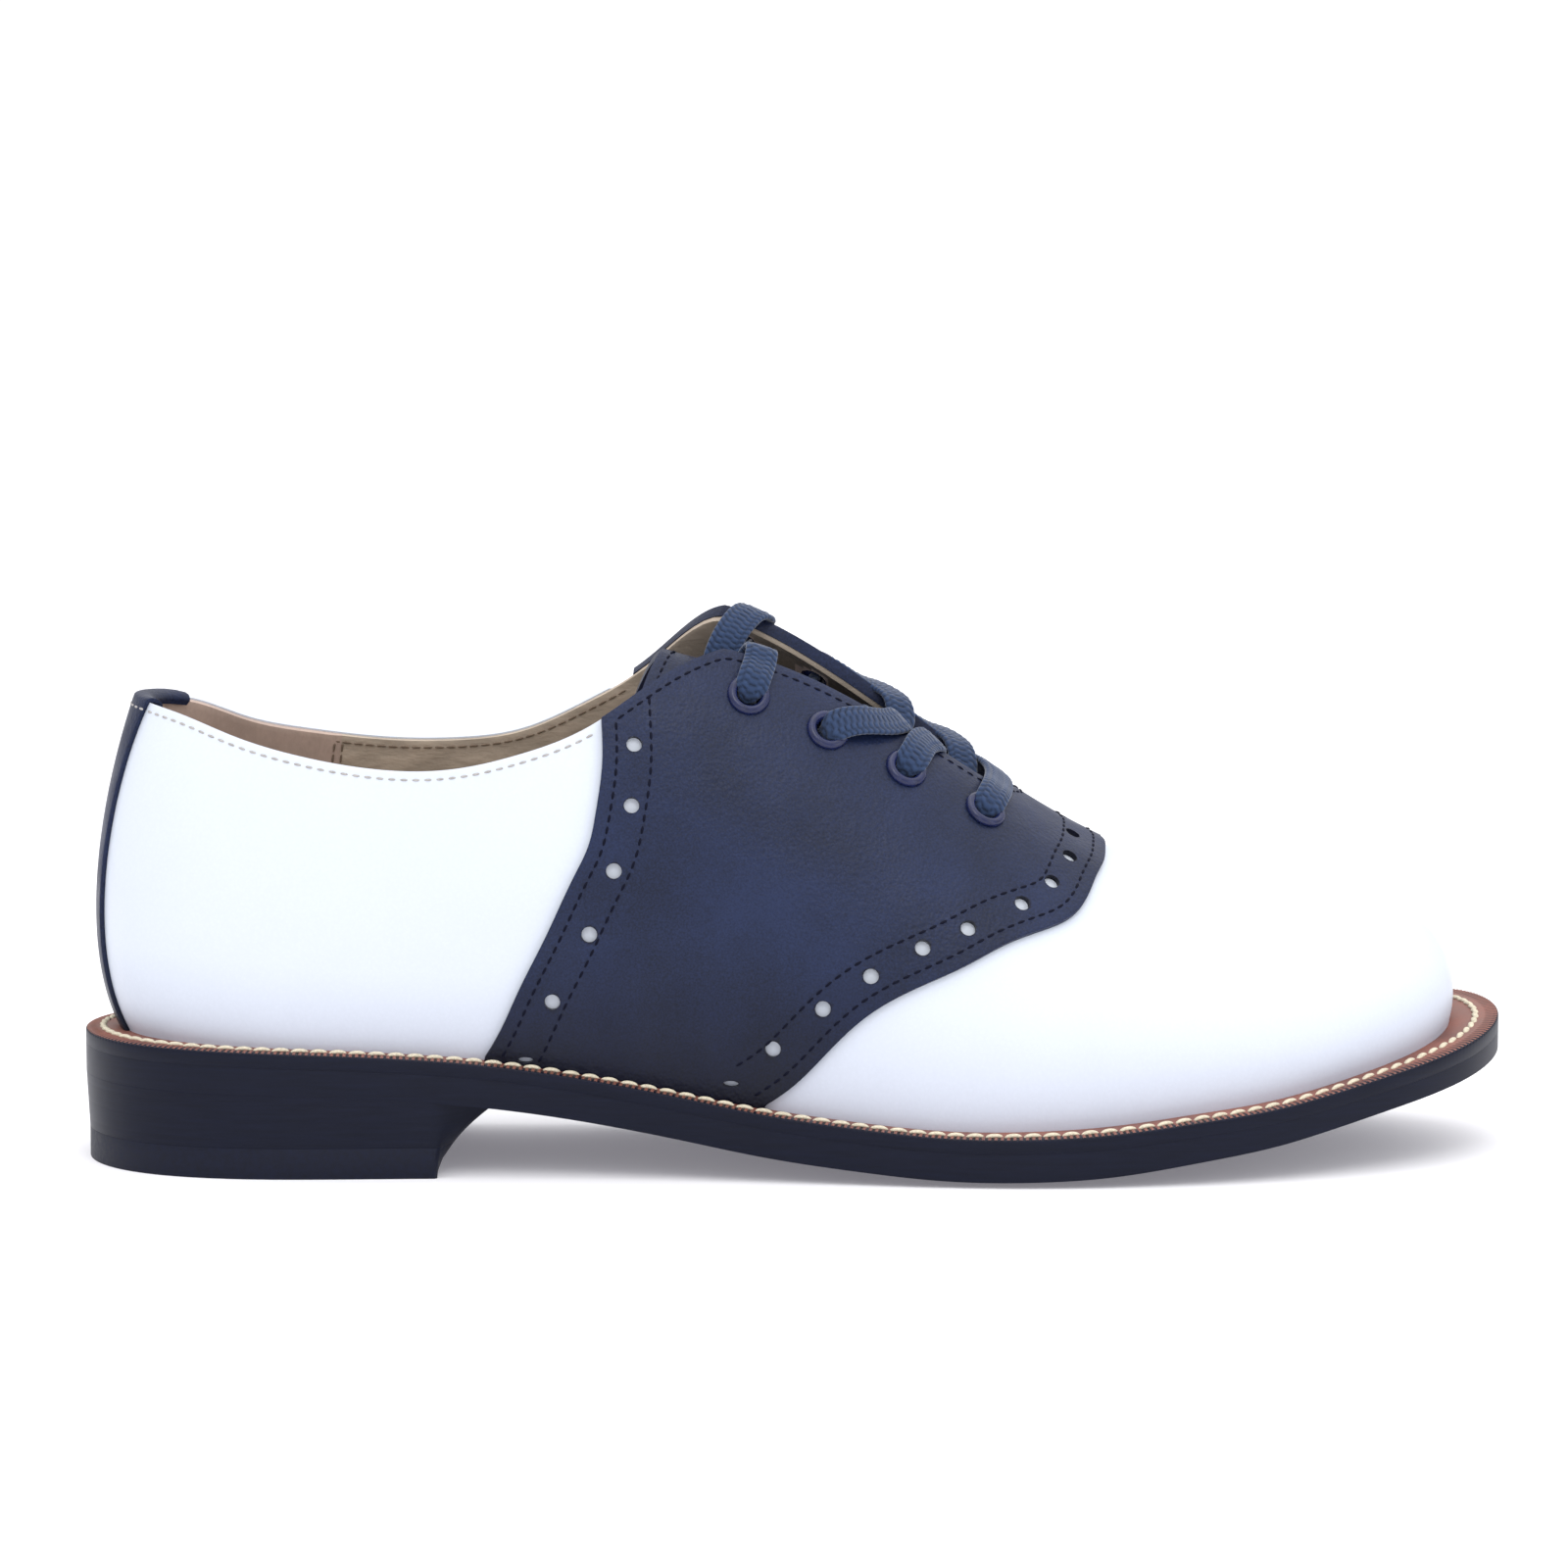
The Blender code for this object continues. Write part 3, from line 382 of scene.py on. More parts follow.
def colour(name, text, default):
    """A colour that the panel shows."""
    return bpy.props.FloatVectorProperty(name=name, description=text, default=default, size=3,
                                         min=0.0, max=1.0, subtype="COLOR")


class ShoeSizes(bpy.types.PropertyGroup):
    """Sizes of the shoe's details."""
    leather: length("Leather", "Thickness of the saddle's leather", 1.25 * MM)
    lining: length("Lining", "Thickness of the lining", 0.95 * MM)
    seam_inset: length("Seam inset", "Distance of the edge seams from a folded edge", 1.7 * MM)
    outer_row: length("Outer row", "Saddle's outer seam from its cut edge", 2.7 * MM)
    inner_row: length("Inner row", "Saddle's inner seam from its cut edge", 9.3 * MM)
    pitch: length("Stitch pitch", "Length of one stitch of the upper", 2.3 * MM)
    welt_pitch: length("Welt stitch pitch", "Length of one stitch of the welt", 3.7 * MM)
    wheel_pitch: length("Wheel pitch", "Distance between the wheel marks on the welt", 1.2 * MM)
    hole: length("Hole", "Diameter of the punched holes", 3.0 * MM)
    eyelet: length("Eyelet", "Outer diameter of the eyelets", 8.5 * MM)
    lace_width: length("Lace width", "Width of the flat lace", 6.5 * MM)
    lace_thickness: length("Lace thickness", "Thickness of the flat lace", 1.3 * MM)


class ShoeColours(bpy.types.PropertyGroup):
    """Colours of the shoe's materials."""
    white: colour("White leather", "Vamp and quarters", (0.62, 0.665, 0.74))
    navy: colour("Navy leather", "Saddle, heel strip and tongue", (0.0075, 0.0135, 0.042))
    edge: colour("Painted edge", "Sole edge and heel", (0.003, 0.0045, 0.014))
    welt: colour("Welt", "Leather of the welt", (0.23, 0.085, 0.060))
    thread: colour("Welt thread", "Thick thread of the welt", (0.66, 0.60, 0.46))
    lining: colour("Lining", "Leather lining", (0.46, 0.38, 0.30))
    suede: colour("Heel lining", "Suede lining of the heel", (0.48, 0.36, 0.30))
    enamel: colour("Eyelets", "Enamel of the eyelets", (0.006, 0.010, 0.050))
    cotton: colour("Lace", "Cotton of the lace", (0.019, 0.035, 0.080))
    floor: colour("Floor", "Floor of the studio", (0.78, 0.78, 0.79))


def sizes():
    """The scene's sizes."""
    return bpy.context.scene.shoe_sizes


def colours():
    """The scene's colours."""
    return bpy.context.scene.shoe_colours


# ---- materials

class Nodes:
    """A new material and short ways to add and join its nodes."""

    def __init__(self, name):
        self.material = bpy.data.materials.new(name)
        self.material.use_nodes = True
        self.tree = self.material.node_tree
        self.shader = self.tree.nodes["Principled BSDF"]

    def add(self, kind, links=None, **values):
        """A node with its settings and inputs; links join inputs to other nodes' outputs."""
        node = self.tree.nodes.new(kind)
        for key, value in values.items():
            if hasattr(node, key):
                setattr(node, key, value)
            else:
                node.inputs[key.replace("_", " ")].default_value = value
        for key, source in (links or {}).items():
            self.tree.links.new(source, node.inputs[key])
        return node

    def here(self, scale=(1, 1, 1)):
        """Object coordinates, stretched."""
        place = self.add("ShaderNodeTexCoord").outputs["Object"]
        return self.add("ShaderNodeMapping", {"Vector": place}, Scale=scale).outputs["Vector"]

    def noise(self, vector, scale, detail=3.0, roughness=0.55):
        """Noise from 0 to 1."""
        return self.add("ShaderNodeTexNoise", {"Vector": vector}, Scale=scale, Detail=detail,
                        Roughness=roughness).outputs["Fac"]

    def span(self, value, low, high, start=0.3, end=0.7):
        """A value brought from one range into another."""
        return self.add("ShaderNodeMapRange", {"Value": value}, From_Min=start, From_Max=end,
                        To_Min=low, To_Max=high).outputs["Result"]

    def feed(self, node, *pairs):
        """Joins or sets inputs, each given by its number and an output, a number or a colour."""
        for key, value in pairs:
            if isinstance(value, bpy.types.NodeSocket):
                self.tree.links.new(value, node.inputs[key])
            else:
                plain = isinstance(value, (int, float))
                node.inputs[key].default_value = value if plain else (*value, 1.0)
        return node

    def blend(self, factor, one, two, mode="MIX"):
        """Two colours mixed; each is a colour or an output."""
        node = self.add("ShaderNodeMix", data_type="RGBA", blend_type=mode)
        return self.feed(node, (0, factor), (6, one), (7, two)).outputs[2]

    def two_tone(self, factor, tone, low, high):
        """A colour made lower and higher by a factor from 0 to 1."""
        return self.blend(factor, shade(tone, low), shade(tone, high))

    def maths(self, operation, one, two=0.0):
        """Two values taken together."""
        node = self.add("ShaderNodeMath", operation=operation)
        return self.feed(node, (0, one), (1, two)).outputs[0]

    def kept(self, name):
        """A value that the piece keeps for its points."""
        return self.add("ShaderNodeAttribute", attribute_name=name).outputs["Fac"]

    def surface(self, colour=None, roughness=None, relief=(), **sockets):
        """Joins the colour, the roughness and the relief to the shader and sets its sockets."""
        shader, links = self.shader, self.tree.links
        if colour is not None:
            links.new(colour, shader.inputs["Base Color"])
        if roughness is not None:
            links.new(roughness, shader.inputs["Roughness"])
        normal = None
        for height, strength, distance in relief:
            bump = self.add("ShaderNodeBump", {"Height": height}, Strength=strength,
                            Distance=distance)
            if normal is not None:
                links.new(normal, bump.inputs["Normal"])
            normal = bump.outputs["Normal"]
        if normal is not None:
            links.new(normal, shader.inputs["Normal"])
        for key, value in sockets.items():
            shader.inputs[key.replace("_", " ")].default_value = value
        return self.material


def shade(tone, factor):
    """A colour made lighter or darker."""
    return tuple(min(part * factor, 1.0) for part in tone)


def look(name, build, *values, **sockets):
    """A material, built when it is first asked for."""
    return bpy.data.materials.get(name) or build(Nodes(name), *values, **sockets)


def leather(work, tone, low, high, welt_shade_tone, grain, **sockets):
    """Dressed leather: fine pores in rounded cells, faint mottling, painted shade above the welt.
    """
    here = work.here()
    mottle = work.noise(here, 38.0, 4.0)
    cells = work.add("ShaderNodeTexVoronoi", {"Vector": here}, feature="SMOOTH_F1",
                     Scale=1300.0, Smoothness=0.6).outputs["Distance"]
    fine = work.noise(here, 2600.0, 2.0)
    speckle = work.maths("MULTIPLY", work.maths("ADD", mottle, fine), 0.5)
    paint = work.two_tone(work.span(speckle, 0.0, 1.0, 0.38, 0.62), tone, low, high)
    paint = work.blend(work.span(cells, 0.0, 0.10, 0.1, 0.6), paint, shade(tone, low * 0.8))
    # painted shade: the colour is multiplied toward the shade tone near the welt, by the kept rise
    near_welt = work.span(work.kept("rise"), 1.0, 0.0, 0.0, 0.35)
    painted_welt_shade = work.blend(near_welt, (1.0, 1.0, 1.0), welt_shade_tone)
    paint = work.blend(1.0, paint, painted_welt_shade, "MULTIPLY")
    rough = work.span(work.noise(here, 120.0, 3.0), 0.36, 0.50)
    return work.surface(paint, rough, ((cells, grain, 0.08 * MM), (fine, grain, 0.05 * MM)),
                        **sockets)


def white_leather():
    """Smooth white leather with a faint blue cast and painted shade above the welt."""
    # the third colour is the tone of the painted shade above the welt
    return look("smooth_white", leather, colours().white, 0.985, 1.01, (0.85, 0.84, 0.88), 0.06,
                Specular_IOR_Level=0.45)


def navy_leather():
    """Navy leather, mottled, with painted shade that darkens it above the welt."""
    # the third colour is the tone of the painted shade above the welt
    return look("smooth_navy", leather, colours().navy, 0.60, 1.55, (0.10, 0.12, 0.22), 0.90,
                Specular_IOR_Level=0.24)


def creased(work, tone):
    """Thin lining leather with soft creases; painted shade darkens their hollows and the instep."""
    here = work.here()
    crease = work.noise(work.here((1.0, 1.0, 2.2)), 95.0, 4.0, 0.62)
    cells = work.noise(here, 900.0, 3.0, 0.7)
    # painted shade: the creases' hollows, low in the relief, are coloured darker
    paint = work.two_tone(work.span(crease, 0.0, 1.0, 0.35, 0.65), tone, 0.80, 1.12)
    ahead = work.add("ShaderNodeSeparateXYZ", {"Vector": here}).outputs["X"]
    # painted shade: darker toward the instep, where the lining lies deep in the shoe
    paint = work.blend(work.span(ahead, 0.0, 1.0, -30 * MM, 10 * MM), paint, shade(tone, 0.42))
    return work.surface(paint, None, ((crease, 0.5, 1.2 * MM), (cells, 0.25, 0.08 * MM)),
                        Roughness=0.5, Specular_IOR_Level=0.3)


def lining_leather():
    """Leather of the lining and the insole."""
    return look("smooth_lining", creased, colours().lining)


def napped(work, tone):
    """Suede: matt, with short fibres."""
    fibre = work.noise(work.here((1, 1, 0.35)), 1500.0, 3.0, 0.7)
    patch = work.noise(work.here(), 60.0, 4.0)
    paint = work.two_tone(work.span(patch, 0.0, 1.0), tone, 0.82, 1.15)
    paint = work.blend(work.span(fibre, 0.0, 0.35), paint, shade(tone, 0.6))
    return work.surface(paint, None, ((fibre, 0.35, 0.08 * MM),), Roughness=0.85,
                        Sheen_Weight=0.25, Sheen_Roughness=0.5, Specular_IOR_Level=0.25)


def streaked(work, tone):
    """Burnished and painted leather edge with fine streaks along it."""
    streak = work.noise(work.here((1, 1, 16)), 90.0, 4.0)
    cloud = work.noise(work.here(), 45.0, 3.0)
    paint = work.two_tone(work.span(streak, 0.0, 1.0), tone, 0.85, 1.25)
    return work.surface(paint, work.span(cloud, 0.34, 0.46), ((streak, 0.08, 0.03 * MM),),
                        Specular_IOR_Level=0.16)


def painted_edge():
    """Paint of the sole's edge and the heel."""
    return look("edge_paint", streaked, colours().edge)


def tanned(work, tone, mark_tone):
    """Tanned leather with a fibrous face and darker wheel marks."""
    here = work.here()
    cloud, fibre = work.noise(here, 110.0, 4.0), work.noise(here, 1700.0, 3.0, 0.7)
    paint = work.two_tone(work.span(cloud, 0.0, 1.0), tone, 0.70, 1.30)
    paint = work.blend(work.span(fibre, 0.0, 0.4), paint, shade(tone, 0.55))
    paint = work.blend(work.span(work.kept("wheel"), 0.0, 0.92, 0.3, 0.7), paint, mark_tone)
    return work.surface(paint, work.span(cloud, 0.42, 0.62), ((fibre, 0.3, 0.06 * MM),))


def waxed(work, tone):
    """Waxed thread."""
    fibre = work.noise(work.here(), 2200.0, 2.0)
    paint = work.two_tone(work.span(fibre, 0.0, 1.0), tone, 0.78, 1.12)
    return work.surface(paint, None, ((fibre, 0.3, 0.05 * MM),), Roughness=0.6,
                        Specular_IOR_Level=0.12)


def braided(work, tone):
    """Cotton braid: the strands are modelled; this gives their fibres and painted shade between
    them.
    """
    fibre = work.noise(work.here(), 3200.0, 2.0, 0.7)
    # painted shade: the low places of the weave are coloured far darker than the strands' crowns
    paint = work.two_tone(work.span(work.kept("weave"), 0.0, 1.0, 0.1, 0.9), tone, 0.18, 1.30)
    paint = work.blend(work.span(fibre, 0.0, 0.30), paint, shade(tone, 1.8))
    return work.surface(paint, None, ((fibre, 0.5, 0.08 * MM),), Roughness=0.9, Sheen_Weight=0.35,
                        Sheen_Roughness=0.45, Specular_IOR_Level=0.2)


def enamelled(work, tone):
    """Enamelled metal."""
    cloud = work.noise(work.here(), 700.0, 3.0)
    return work.surface(work.two_tone(work.span(cloud, 0.0, 1.0), tone, 0.8, 1.3),
                        work.span(cloud, 0.20, 0.30), ((cloud, 0.1, 0.04 * MM),),
                        Specular_IOR_Level=0.42)


def rubber(work, tone):
    """Dense dark rubber."""
    speck = work.noise(work.here(), 900.0, 3.0, 0.7)
    return work.surface(work.two_tone(work.span(speck, 0.0, 1.0), tone, 0.8, 1.4),
                        work.span(speck, 0.42, 0.56), ((speck, 0.25, 0.06 * MM),),
                        Specular_IOR_Level=0.20)


# ---- modelling

def deselect():
    """Leaves edit mode with nothing selected."""
    if bpy.context.object and bpy.context.object.mode != "OBJECT":
        bpy.ops.object.mode_set(mode="OBJECT")
    bpy.ops.object.select_all(action="DESELECT")


def pick(*pieces):
    """Selects pieces alone and makes the first one active."""
    deselect()
    for piece in pieces:
        piece.select_set(True)
    bpy.context.view_layer.objects.active = pieces[0]
    return pieces[0]


@contextlib.contextmanager
def editing(piece):
    """Edit mode with the whole piece selected."""
    pick(piece)
    bpy.ops.object.mode_set(mode="EDIT")
    bpy.ops.mesh.select_all(action="SELECT")
    yield bpy.ops.mesh
    bpy.ops.object.mode_set(mode="OBJECT")


def points_of(mesh):
    """A mesh's points."""
    places = np.empty(len(mesh.vertices) * 3)
    mesh.vertices.foreach_get("co", places)
    return places.reshape(-1, 3)


def set_points(mesh, places):
    """Moves a mesh's points."""
    mesh.vertices.foreach_set("co", np.ascontiguousarray(places, float).ravel())
    mesh.update()


def mark(mesh, name, values):
    """Keeps a value for each point of a mesh."""
    kept = mesh.attributes.get(name) or mesh.attributes.new(name, "FLOAT", "POINT")
    kept.data.foreach_set("value", np.ascontiguousarray(values, np.float32))


def marks_of(mesh, name):
    """The values kept for the points of a mesh."""
    values = np.empty(len(mesh.vertices), np.float32)
    mesh.attributes[name].data.foreach_get("value", values)
    return values.astype(float)


def spread_grid(name, columns, rows, place, sheet=0):
    """A grid primitive laid on a surface; place takes the way across and up, each from 0 to 1."""
    deselect()
    bpy.ops.mesh.primitive_grid_add(x_subdivisions=columns, y_subdivisions=rows, size=1)
    piece = bpy.context.object
    piece.name = piece.data.name = name
    flat = points_of(piece.data)
    across = np.round((flat[:, 0] + 0.5) * columns) / columns
    up = np.round((flat[:, 1] + 0.5) * rows) / rows
    for key, values in (("across", across), ("up", up), ("sheet", np.full(len(flat), sheet))):
        mark(piece.data, key, values)
    set_points(piece.data, place(across, up))
    return piece


def join(pieces):
    """Joins pieces into the first one."""
    pick(*pieces)
    if len(pieces) > 1:
        bpy.ops.object.join()
    return pieces[0]


def merge(piece, distance=0.001 * MM):
    """Closes seams and poles."""
    with editing(piece) as mesh:
        mesh.remove_doubles(threshold=distance)
    return piece


def apply_modifier(piece, kind, **values):
    """Adds a modifier and applies it."""
    pick(piece)
    step = piece.modifiers.new(kind.title(), kind)
    for key, value in values.items():
        setattr(step, key, value)
    bpy.ops.object.modifier_apply(modifier=step.name)
    return piece


def round_edges(piece, width, segments=2, angle=55):
    """Rounds the sharp edges of a piece."""
    return apply_modifier(piece, "BEVEL", width=width, segments=segments, limit_method="ANGLE",
                          angle_limit=math.radians(angle), use_clamp_overlap=True)


def give_wall(piece, thickness, inner):
    """Gives a sheet a wall; inner says where its inner face lies, by sheet, across and up."""
    outer_count = len(piece.data.vertices)
    apply_modifier(piece, "SOLIDIFY", thickness=thickness, offset=-1, use_rim=True)
    mesh = piece.data
    places = points_of(mesh)
    sheet, across, up = (marks_of(mesh, key)[outer_count:] for key in ("sheet", "across", "up"))
    places[outer_count:] = inner(sheet, across, up)
    set_points(mesh, places)
    return piece


def cut(piece, cutter):
    """Cuts one piece with another, which is then removed."""
    apply_modifier(piece, "BOOLEAN", operation="DIFFERENCE", solver="EXACT", object=cutter)
    bpy.data.objects.remove(cutter, do_unlink=True)
    return piece


def mark_rise(piece, start=0.0):
    """Keeps how far up the foot surface each point lies, as a share of the piece's way up."""
    up = marks_of(piece.data, "up")
    mark(piece.data, "rise", start + (1 - start) * up)
    return piece


def finish(piece, looks, slot, nodes, angle=40):
    """Shades a piece, gives it its materials, hangs it under the root and hides the parts it
    replaces.
    """
    pick(piece)
    bpy.ops.object.shade_smooth_by_angle(angle=math.radians(angle))
    piece.data.materials.clear()
    for look in looks:
        piece.data.materials.append(look)
    for name in ("across", "up", "sheet"):
        if name in piece.data.attributes:
            piece.data.attributes.remove(piece.data.attributes[name])
    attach(piece, "root")
    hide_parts(*nodes)
    return piece


def rods(name, places, directions, radius, sides, low, high):
    """Straight rods as one cutter: one cylinder is made and copied to each place."""
    deselect()
    bpy.ops.mesh.primitive_cylinder_add(vertices=sides, radius=radius, depth=high - low,
                                        location=(0, 0, 0))
    model = bpy.context.object
    set_points(model.data, points_of(model.data) + (0, 0, (high + low) / 2))
    return copies(name, model, places, frames_along(directions))


def frames_along(directions, ahead=None):
    """Turns, as arrays whose columns are the copy's X, Y and Z; Z goes along a direction."""
    up = unit(np.asarray(directions, float))
    if ahead is None:
        ahead = np.where(np.abs(up[:, :1]) < 0.8, (1.0, 0.0, 0.0), (0.0, 1.0, 0.0))
    side = unit(np.cross(up, ahead))
    return np.stack((np.cross(side, up), side, up), -1)


def copies(name, model, places, turns):
    """One mesh with a copy of a model at each place; the model is removed."""
    mesh = model.data
    points = points_of(mesh)
    faces = [tuple(face.vertices) for face in mesh.polygons]
    count = len(points)
    every = np.einsum("kij,nj->kni", turns, points) + np.asarray(places)[:, None, :]
    made = bpy.data.meshes.new(name)
    made.from_pydata(every.reshape(-1, 3), [],
                     [tuple(index + k * count for index in face)
                      for k in range(len(turns)) for face in faces])
    made.update()
    bpy.data.objects.remove(model, do_unlink=True)
    piece = bpy.data.objects.new(name, made)
    bpy.context.scene.collection.objects.link(piece)
    return piece


# ---- the upper

UPPER_COLUMNS, UPPER_ROWS = 440, 56
SEAM_SHARE = 0.165


def white_top(share, side):
    """Top of the white leather, which ends a little under the saddle's folded edge."""
    start, run, drop = 0.374, 0.014, 0.030
    low = top_rise(share, side) - drop * ease((share - start) / run)
    return np.where(share > THROAT_END + 0.004, 1.0, low)


def by_side(angle, value):
    """A value of the share and the side, read at angles round the shoe."""
    share = share_at(angle)
    return np.where(angle % TURN <= math.pi, value(share, LATERAL), value(share, MEDIAL))


class SHOE_OT_upper(bpy.types.Operator):
    """Make the white vamp and quarters"""
    bl_idname = "saddle_shoe.upper"
    bl_label = "Upper"

    def execute(self, context):
        def place(across, up, depth=0.0):
            angle = across * TURN
            return on_foot(angle, (by_side(angle, white_top) + TUCK) * up - TUCK, depth)
        piece = spread_grid("upper_leather", UPPER_COLUMNS, UPPER_ROWS, place)
        mark_rise(merge(piece))
        wall = 1.15 * MM  # the lining makes up the rest of the upper's wall
        give_wall(piece, wall, lambda sheet, across, up: place(across, up, -wall))
        round_edges(piece, 0.42 * MM, 3)
        cut(piece, eyelet_rods("upper_holes", EYELET_BORE))
        finish(piece, [white_leather()], "white_leather", ["upper"])
        return {"FINISHED"}


class SHOE_OT_lining(bpy.types.Operator):
    """Make the lining, suede at the heel and smooth leather ahead of it"""
    bl_idname = "saddle_shoe.lining"
    bl_label = "Lining"

    def execute(self, context):
        start, low, suede_extra = -1.2 * MM, 0.02, 0.35 * MM
        wall = sizes().lining

        def place(across, up, inner=False):
            angle = across * TURN
            rise = low + (by_side(angle, top_rise) - 0.003 - low) * up
            rear = ease((SEAM_SHARE - share_at(angle)) / 0.004)
            return on_foot(angle, rise, start - (wall + suede_extra * rear) * inner)
        piece = spread_grid("lining", UPPER_COLUMNS, 48, place)
        merge(piece)
        give_wall(piece, wall, lambda sheet, across, up: place(across, up, True))
        round_edges(piece, 0.25 * MM, 2)
        cut(piece, eyelet_rods("lining_holes", EYELET_BORE - 0.2 * MM))
        turn = np.abs(marks_of(piece.data, "across") * 2 - 1)
        seam_turn = 1 - float(angle_at(SEAM_SHARE, LATERAL)) / math.pi
        suede = [turn[list(face.vertices)].mean() > seam_turn for face in piece.data.polygons]
        finish(piece, [lining_leather(), look("suede_lining", napped, colours().suede)],
               "lining_leather", ["upper"])
        piece.data.polygons.foreach_set("material_index", np.array(suede, np.int32))
        piece.data.update()
        return {"FINISHED"}


def eyelet_place(row, side):
    """Angle and rise of an eyelet."""
    share, lateral, medial = EYELET_ROWS[row]
    return float(angle_at(share, side)), lateral if side < 0 else medial


def eyelet_rods(name, radius):
    """Cutter of the eyelet holes."""
    spots = np.array([eyelet_place(row, side) for side in SIDES for row in range(4)]).T
    return rods(name, on_foot(*spots), outward(*spots), radius, sides=32, low=-4 * MM,
                high=3.5 * MM)


# ---- the saddle

def lengthwise(points):
    """Curve through points of share and rise, read from 0 to 1 along its length."""
    points = np.array(points, float)
    reach = reach_along(points * (SHARE_MM, WAIST_RISE_MM))
    reach /= reach[-1]
    readers = [curve_through(reach, points[:, k]) for k in (0, 1)]
    return lambda t: np.stack([read(t) for read in readers], -1)


def rear_edge(side):
    """The saddle's rear edge on one side, from the welt to the topline."""
    rows = np.array(SADDLE_REAR)
    if side == MEDIAL:
        rows[:, 0] += MEDIAL_SHIFT * rows[:, 1] / rows[-1, 1]
    rows[:, 1] *= top_rise(rows[-1, 0], side) / rows[-1, 1]
    return lengthwise(rows)


front_path = lengthwise([(share, rise - 1) for share, rise in SADDLE_FRONT]
                        + [(share, 1 - rise) for share, rise in SADDLE_FRONT[-2::-1]])


def front_edge(t):
    """The saddle's front edge on one side, from the welt to the ridge."""
    spot = front_path(t / 2)
    spot[..., 1] += 1
    return spot


FREE_COLUMNS, RIDGE_COLUMNS, SADDLE_ROWS = 100, 18, 84
EDGE_SHARE = FREE_COLUMNS / (FREE_COLUMNS + RIDGE_COLUMNS)


def edge_shares(start, side, count, last_count):
    """Shares along the saddle's topline and facing, closer where the throat ends."""
    start, near_end = start + (MEDIAL_SHIFT if side == MEDIAL else 0.0), 0.68
    return np.concatenate([np.linspace(start, near_end, count),
                           np.linspace(near_end, THROAT_END, last_count)[1:]])


def top_edge(side):
    """The saddle's upper edge on one side: topline, facing, then the ridge ahead of the throat."""
    share = edge_shares(SADDLE_REAR[-1][0], side, 300, 80)
    rise = top_rise(share, side)
    reach = reach_along(on_foot(angle_at(share, side), rise))
    reach /= reach[-1]
    last = SADDLE_FRONT[-1][0]

    def read(s):
        free = np.clip(s / EDGE_SHARE, 0, 1)
        ridge = np.clip((s - EDGE_SHARE) / (1 - EDGE_SHARE), 0, 1)
        spot = np.stack((np.interp(free, reach, share), np.interp(free, reach, rise)), -1)
        over = np.stack((THROAT_END + (last - THROAT_END) * ridge, np.ones_like(ridge)), -1)
        return np.where((s >= EDGE_SHARE - 1e-9)[..., None], over, spot)
    return read


def saddle_spot(side):
    """Share and rise of the saddle's points, filled in between its four edges."""
    rear, top = rear_edge(side), top_edge(side)
    corners = [np.array(SADDLE_REAR[0]), np.array(SADDLE_FRONT[0]), rear(np.array(1.0)),
               np.array((SADDLE_FRONT[-1][0], 1.0))]

    def read(s, t):
        s1, t1 = s[..., None], t[..., None]
        base = corners[0] + (corners[1] - corners[0]) * s1
        sides = (1 - t1) * base + t1 * top(s) + (1 - s1) * rear(t) + s1 * front_edge(t)
        return sides - ((1 - s1) * (1 - t1) * corners[0] + s1 * (1 - t1) * corners[1]
                        + (1 - s1) * t1 * corners[2] + s1 * t1 * corners[3])
    return read


class SHOE_OT_saddle(bpy.types.Operator):
    """Make the navy saddle with its punched holes"""
    bl_idname = "saddle_shoe.saddle"
    bl_label = "Saddle"

    def execute(self, context):
        spot = {side: saddle_spot(side) for side in SIDES}
        thick, under, fold_depth = sizes().leather, 0.04 * MM, 1.2 * MM
        fold_start, fold_run = 0.965, 0.03

        def place(side, across, up, depth=None):
            s = across if side < 0 else 1 - across
            where = spot[side](s, up)
            if depth is None:
                fold = ease((up - fold_start) / fold_run) * (s < EDGE_SHARE)
                depth = under - fold_depth * fold
            rise = where[..., 1] - TUCK * (up < 1e-6)
            return on_foot(angle_at(where[..., 0], side), rise, depth)

        def inner(sheet, across, up):
            result = np.empty((len(sheet), 3))
            for side in SIDES:
                chosen = sheet * side > 0
                result[chosen] = place(side, across[chosen], up[chosen])
            return result
        parts = [spread_grid("saddle_leather", FREE_COLUMNS + RIDGE_COLUMNS, SADDLE_ROWS,
                             lambda across, up, side=side: place(side, across, up, thick), side)
                 for side in SIDES]
        piece = mark_rise(merge(join(parts)))
        give_wall(piece, thick, inner)
        round_edges(piece, 0.3 * MM, 3)
        cut(piece, eyelet_rods("saddle_holes", EYELET_BORE))
        shift = {LATERAL: 0.0, MEDIAL: MEDIAL_SHIFT / SADDLE_REAR[-1][1]}
        holes = [(share + shift[side] * rise, rise, side)
                 for share, rise in REAR_HOLES for side in SIDES]
        holes += [(*hole, side) for hole in FRONT_HOLES[:-1] for side in SIDES]
        share, rise, side = np.array(holes + [(*FRONT_HOLES[-1], LATERAL)]).T
        angle = angle_at(share, side)
        middles = on_foot(angle, rise)
        cutter = rods("punched_holes", middles, outward(angle, rise), sizes().hole / 2, sides=28,
                      low=-0.6 * MM, high=4 * MM)
        # the lowest holes lie where the leather turns in over the last and show as slits
        shape = points_of(cutter.data).reshape(len(rise), -1, 3)
        slit_rise, slit_height = 0.06, 0.38
        flat = np.where(rise < slit_rise, slit_height, 1.0)[:, None]
        shape[..., 2] = middles[:, 2:] + (shape[..., 2] - middles[:, 2:]) * flat
        set_points(cutter.data, shape.reshape(-1, 3))
        cut(piece, cutter)
        finish(piece, [navy_leather()], "navy_leather", ["saddle"], 35)
        return {"FINISHED"}


# ---- heel strip and tongue

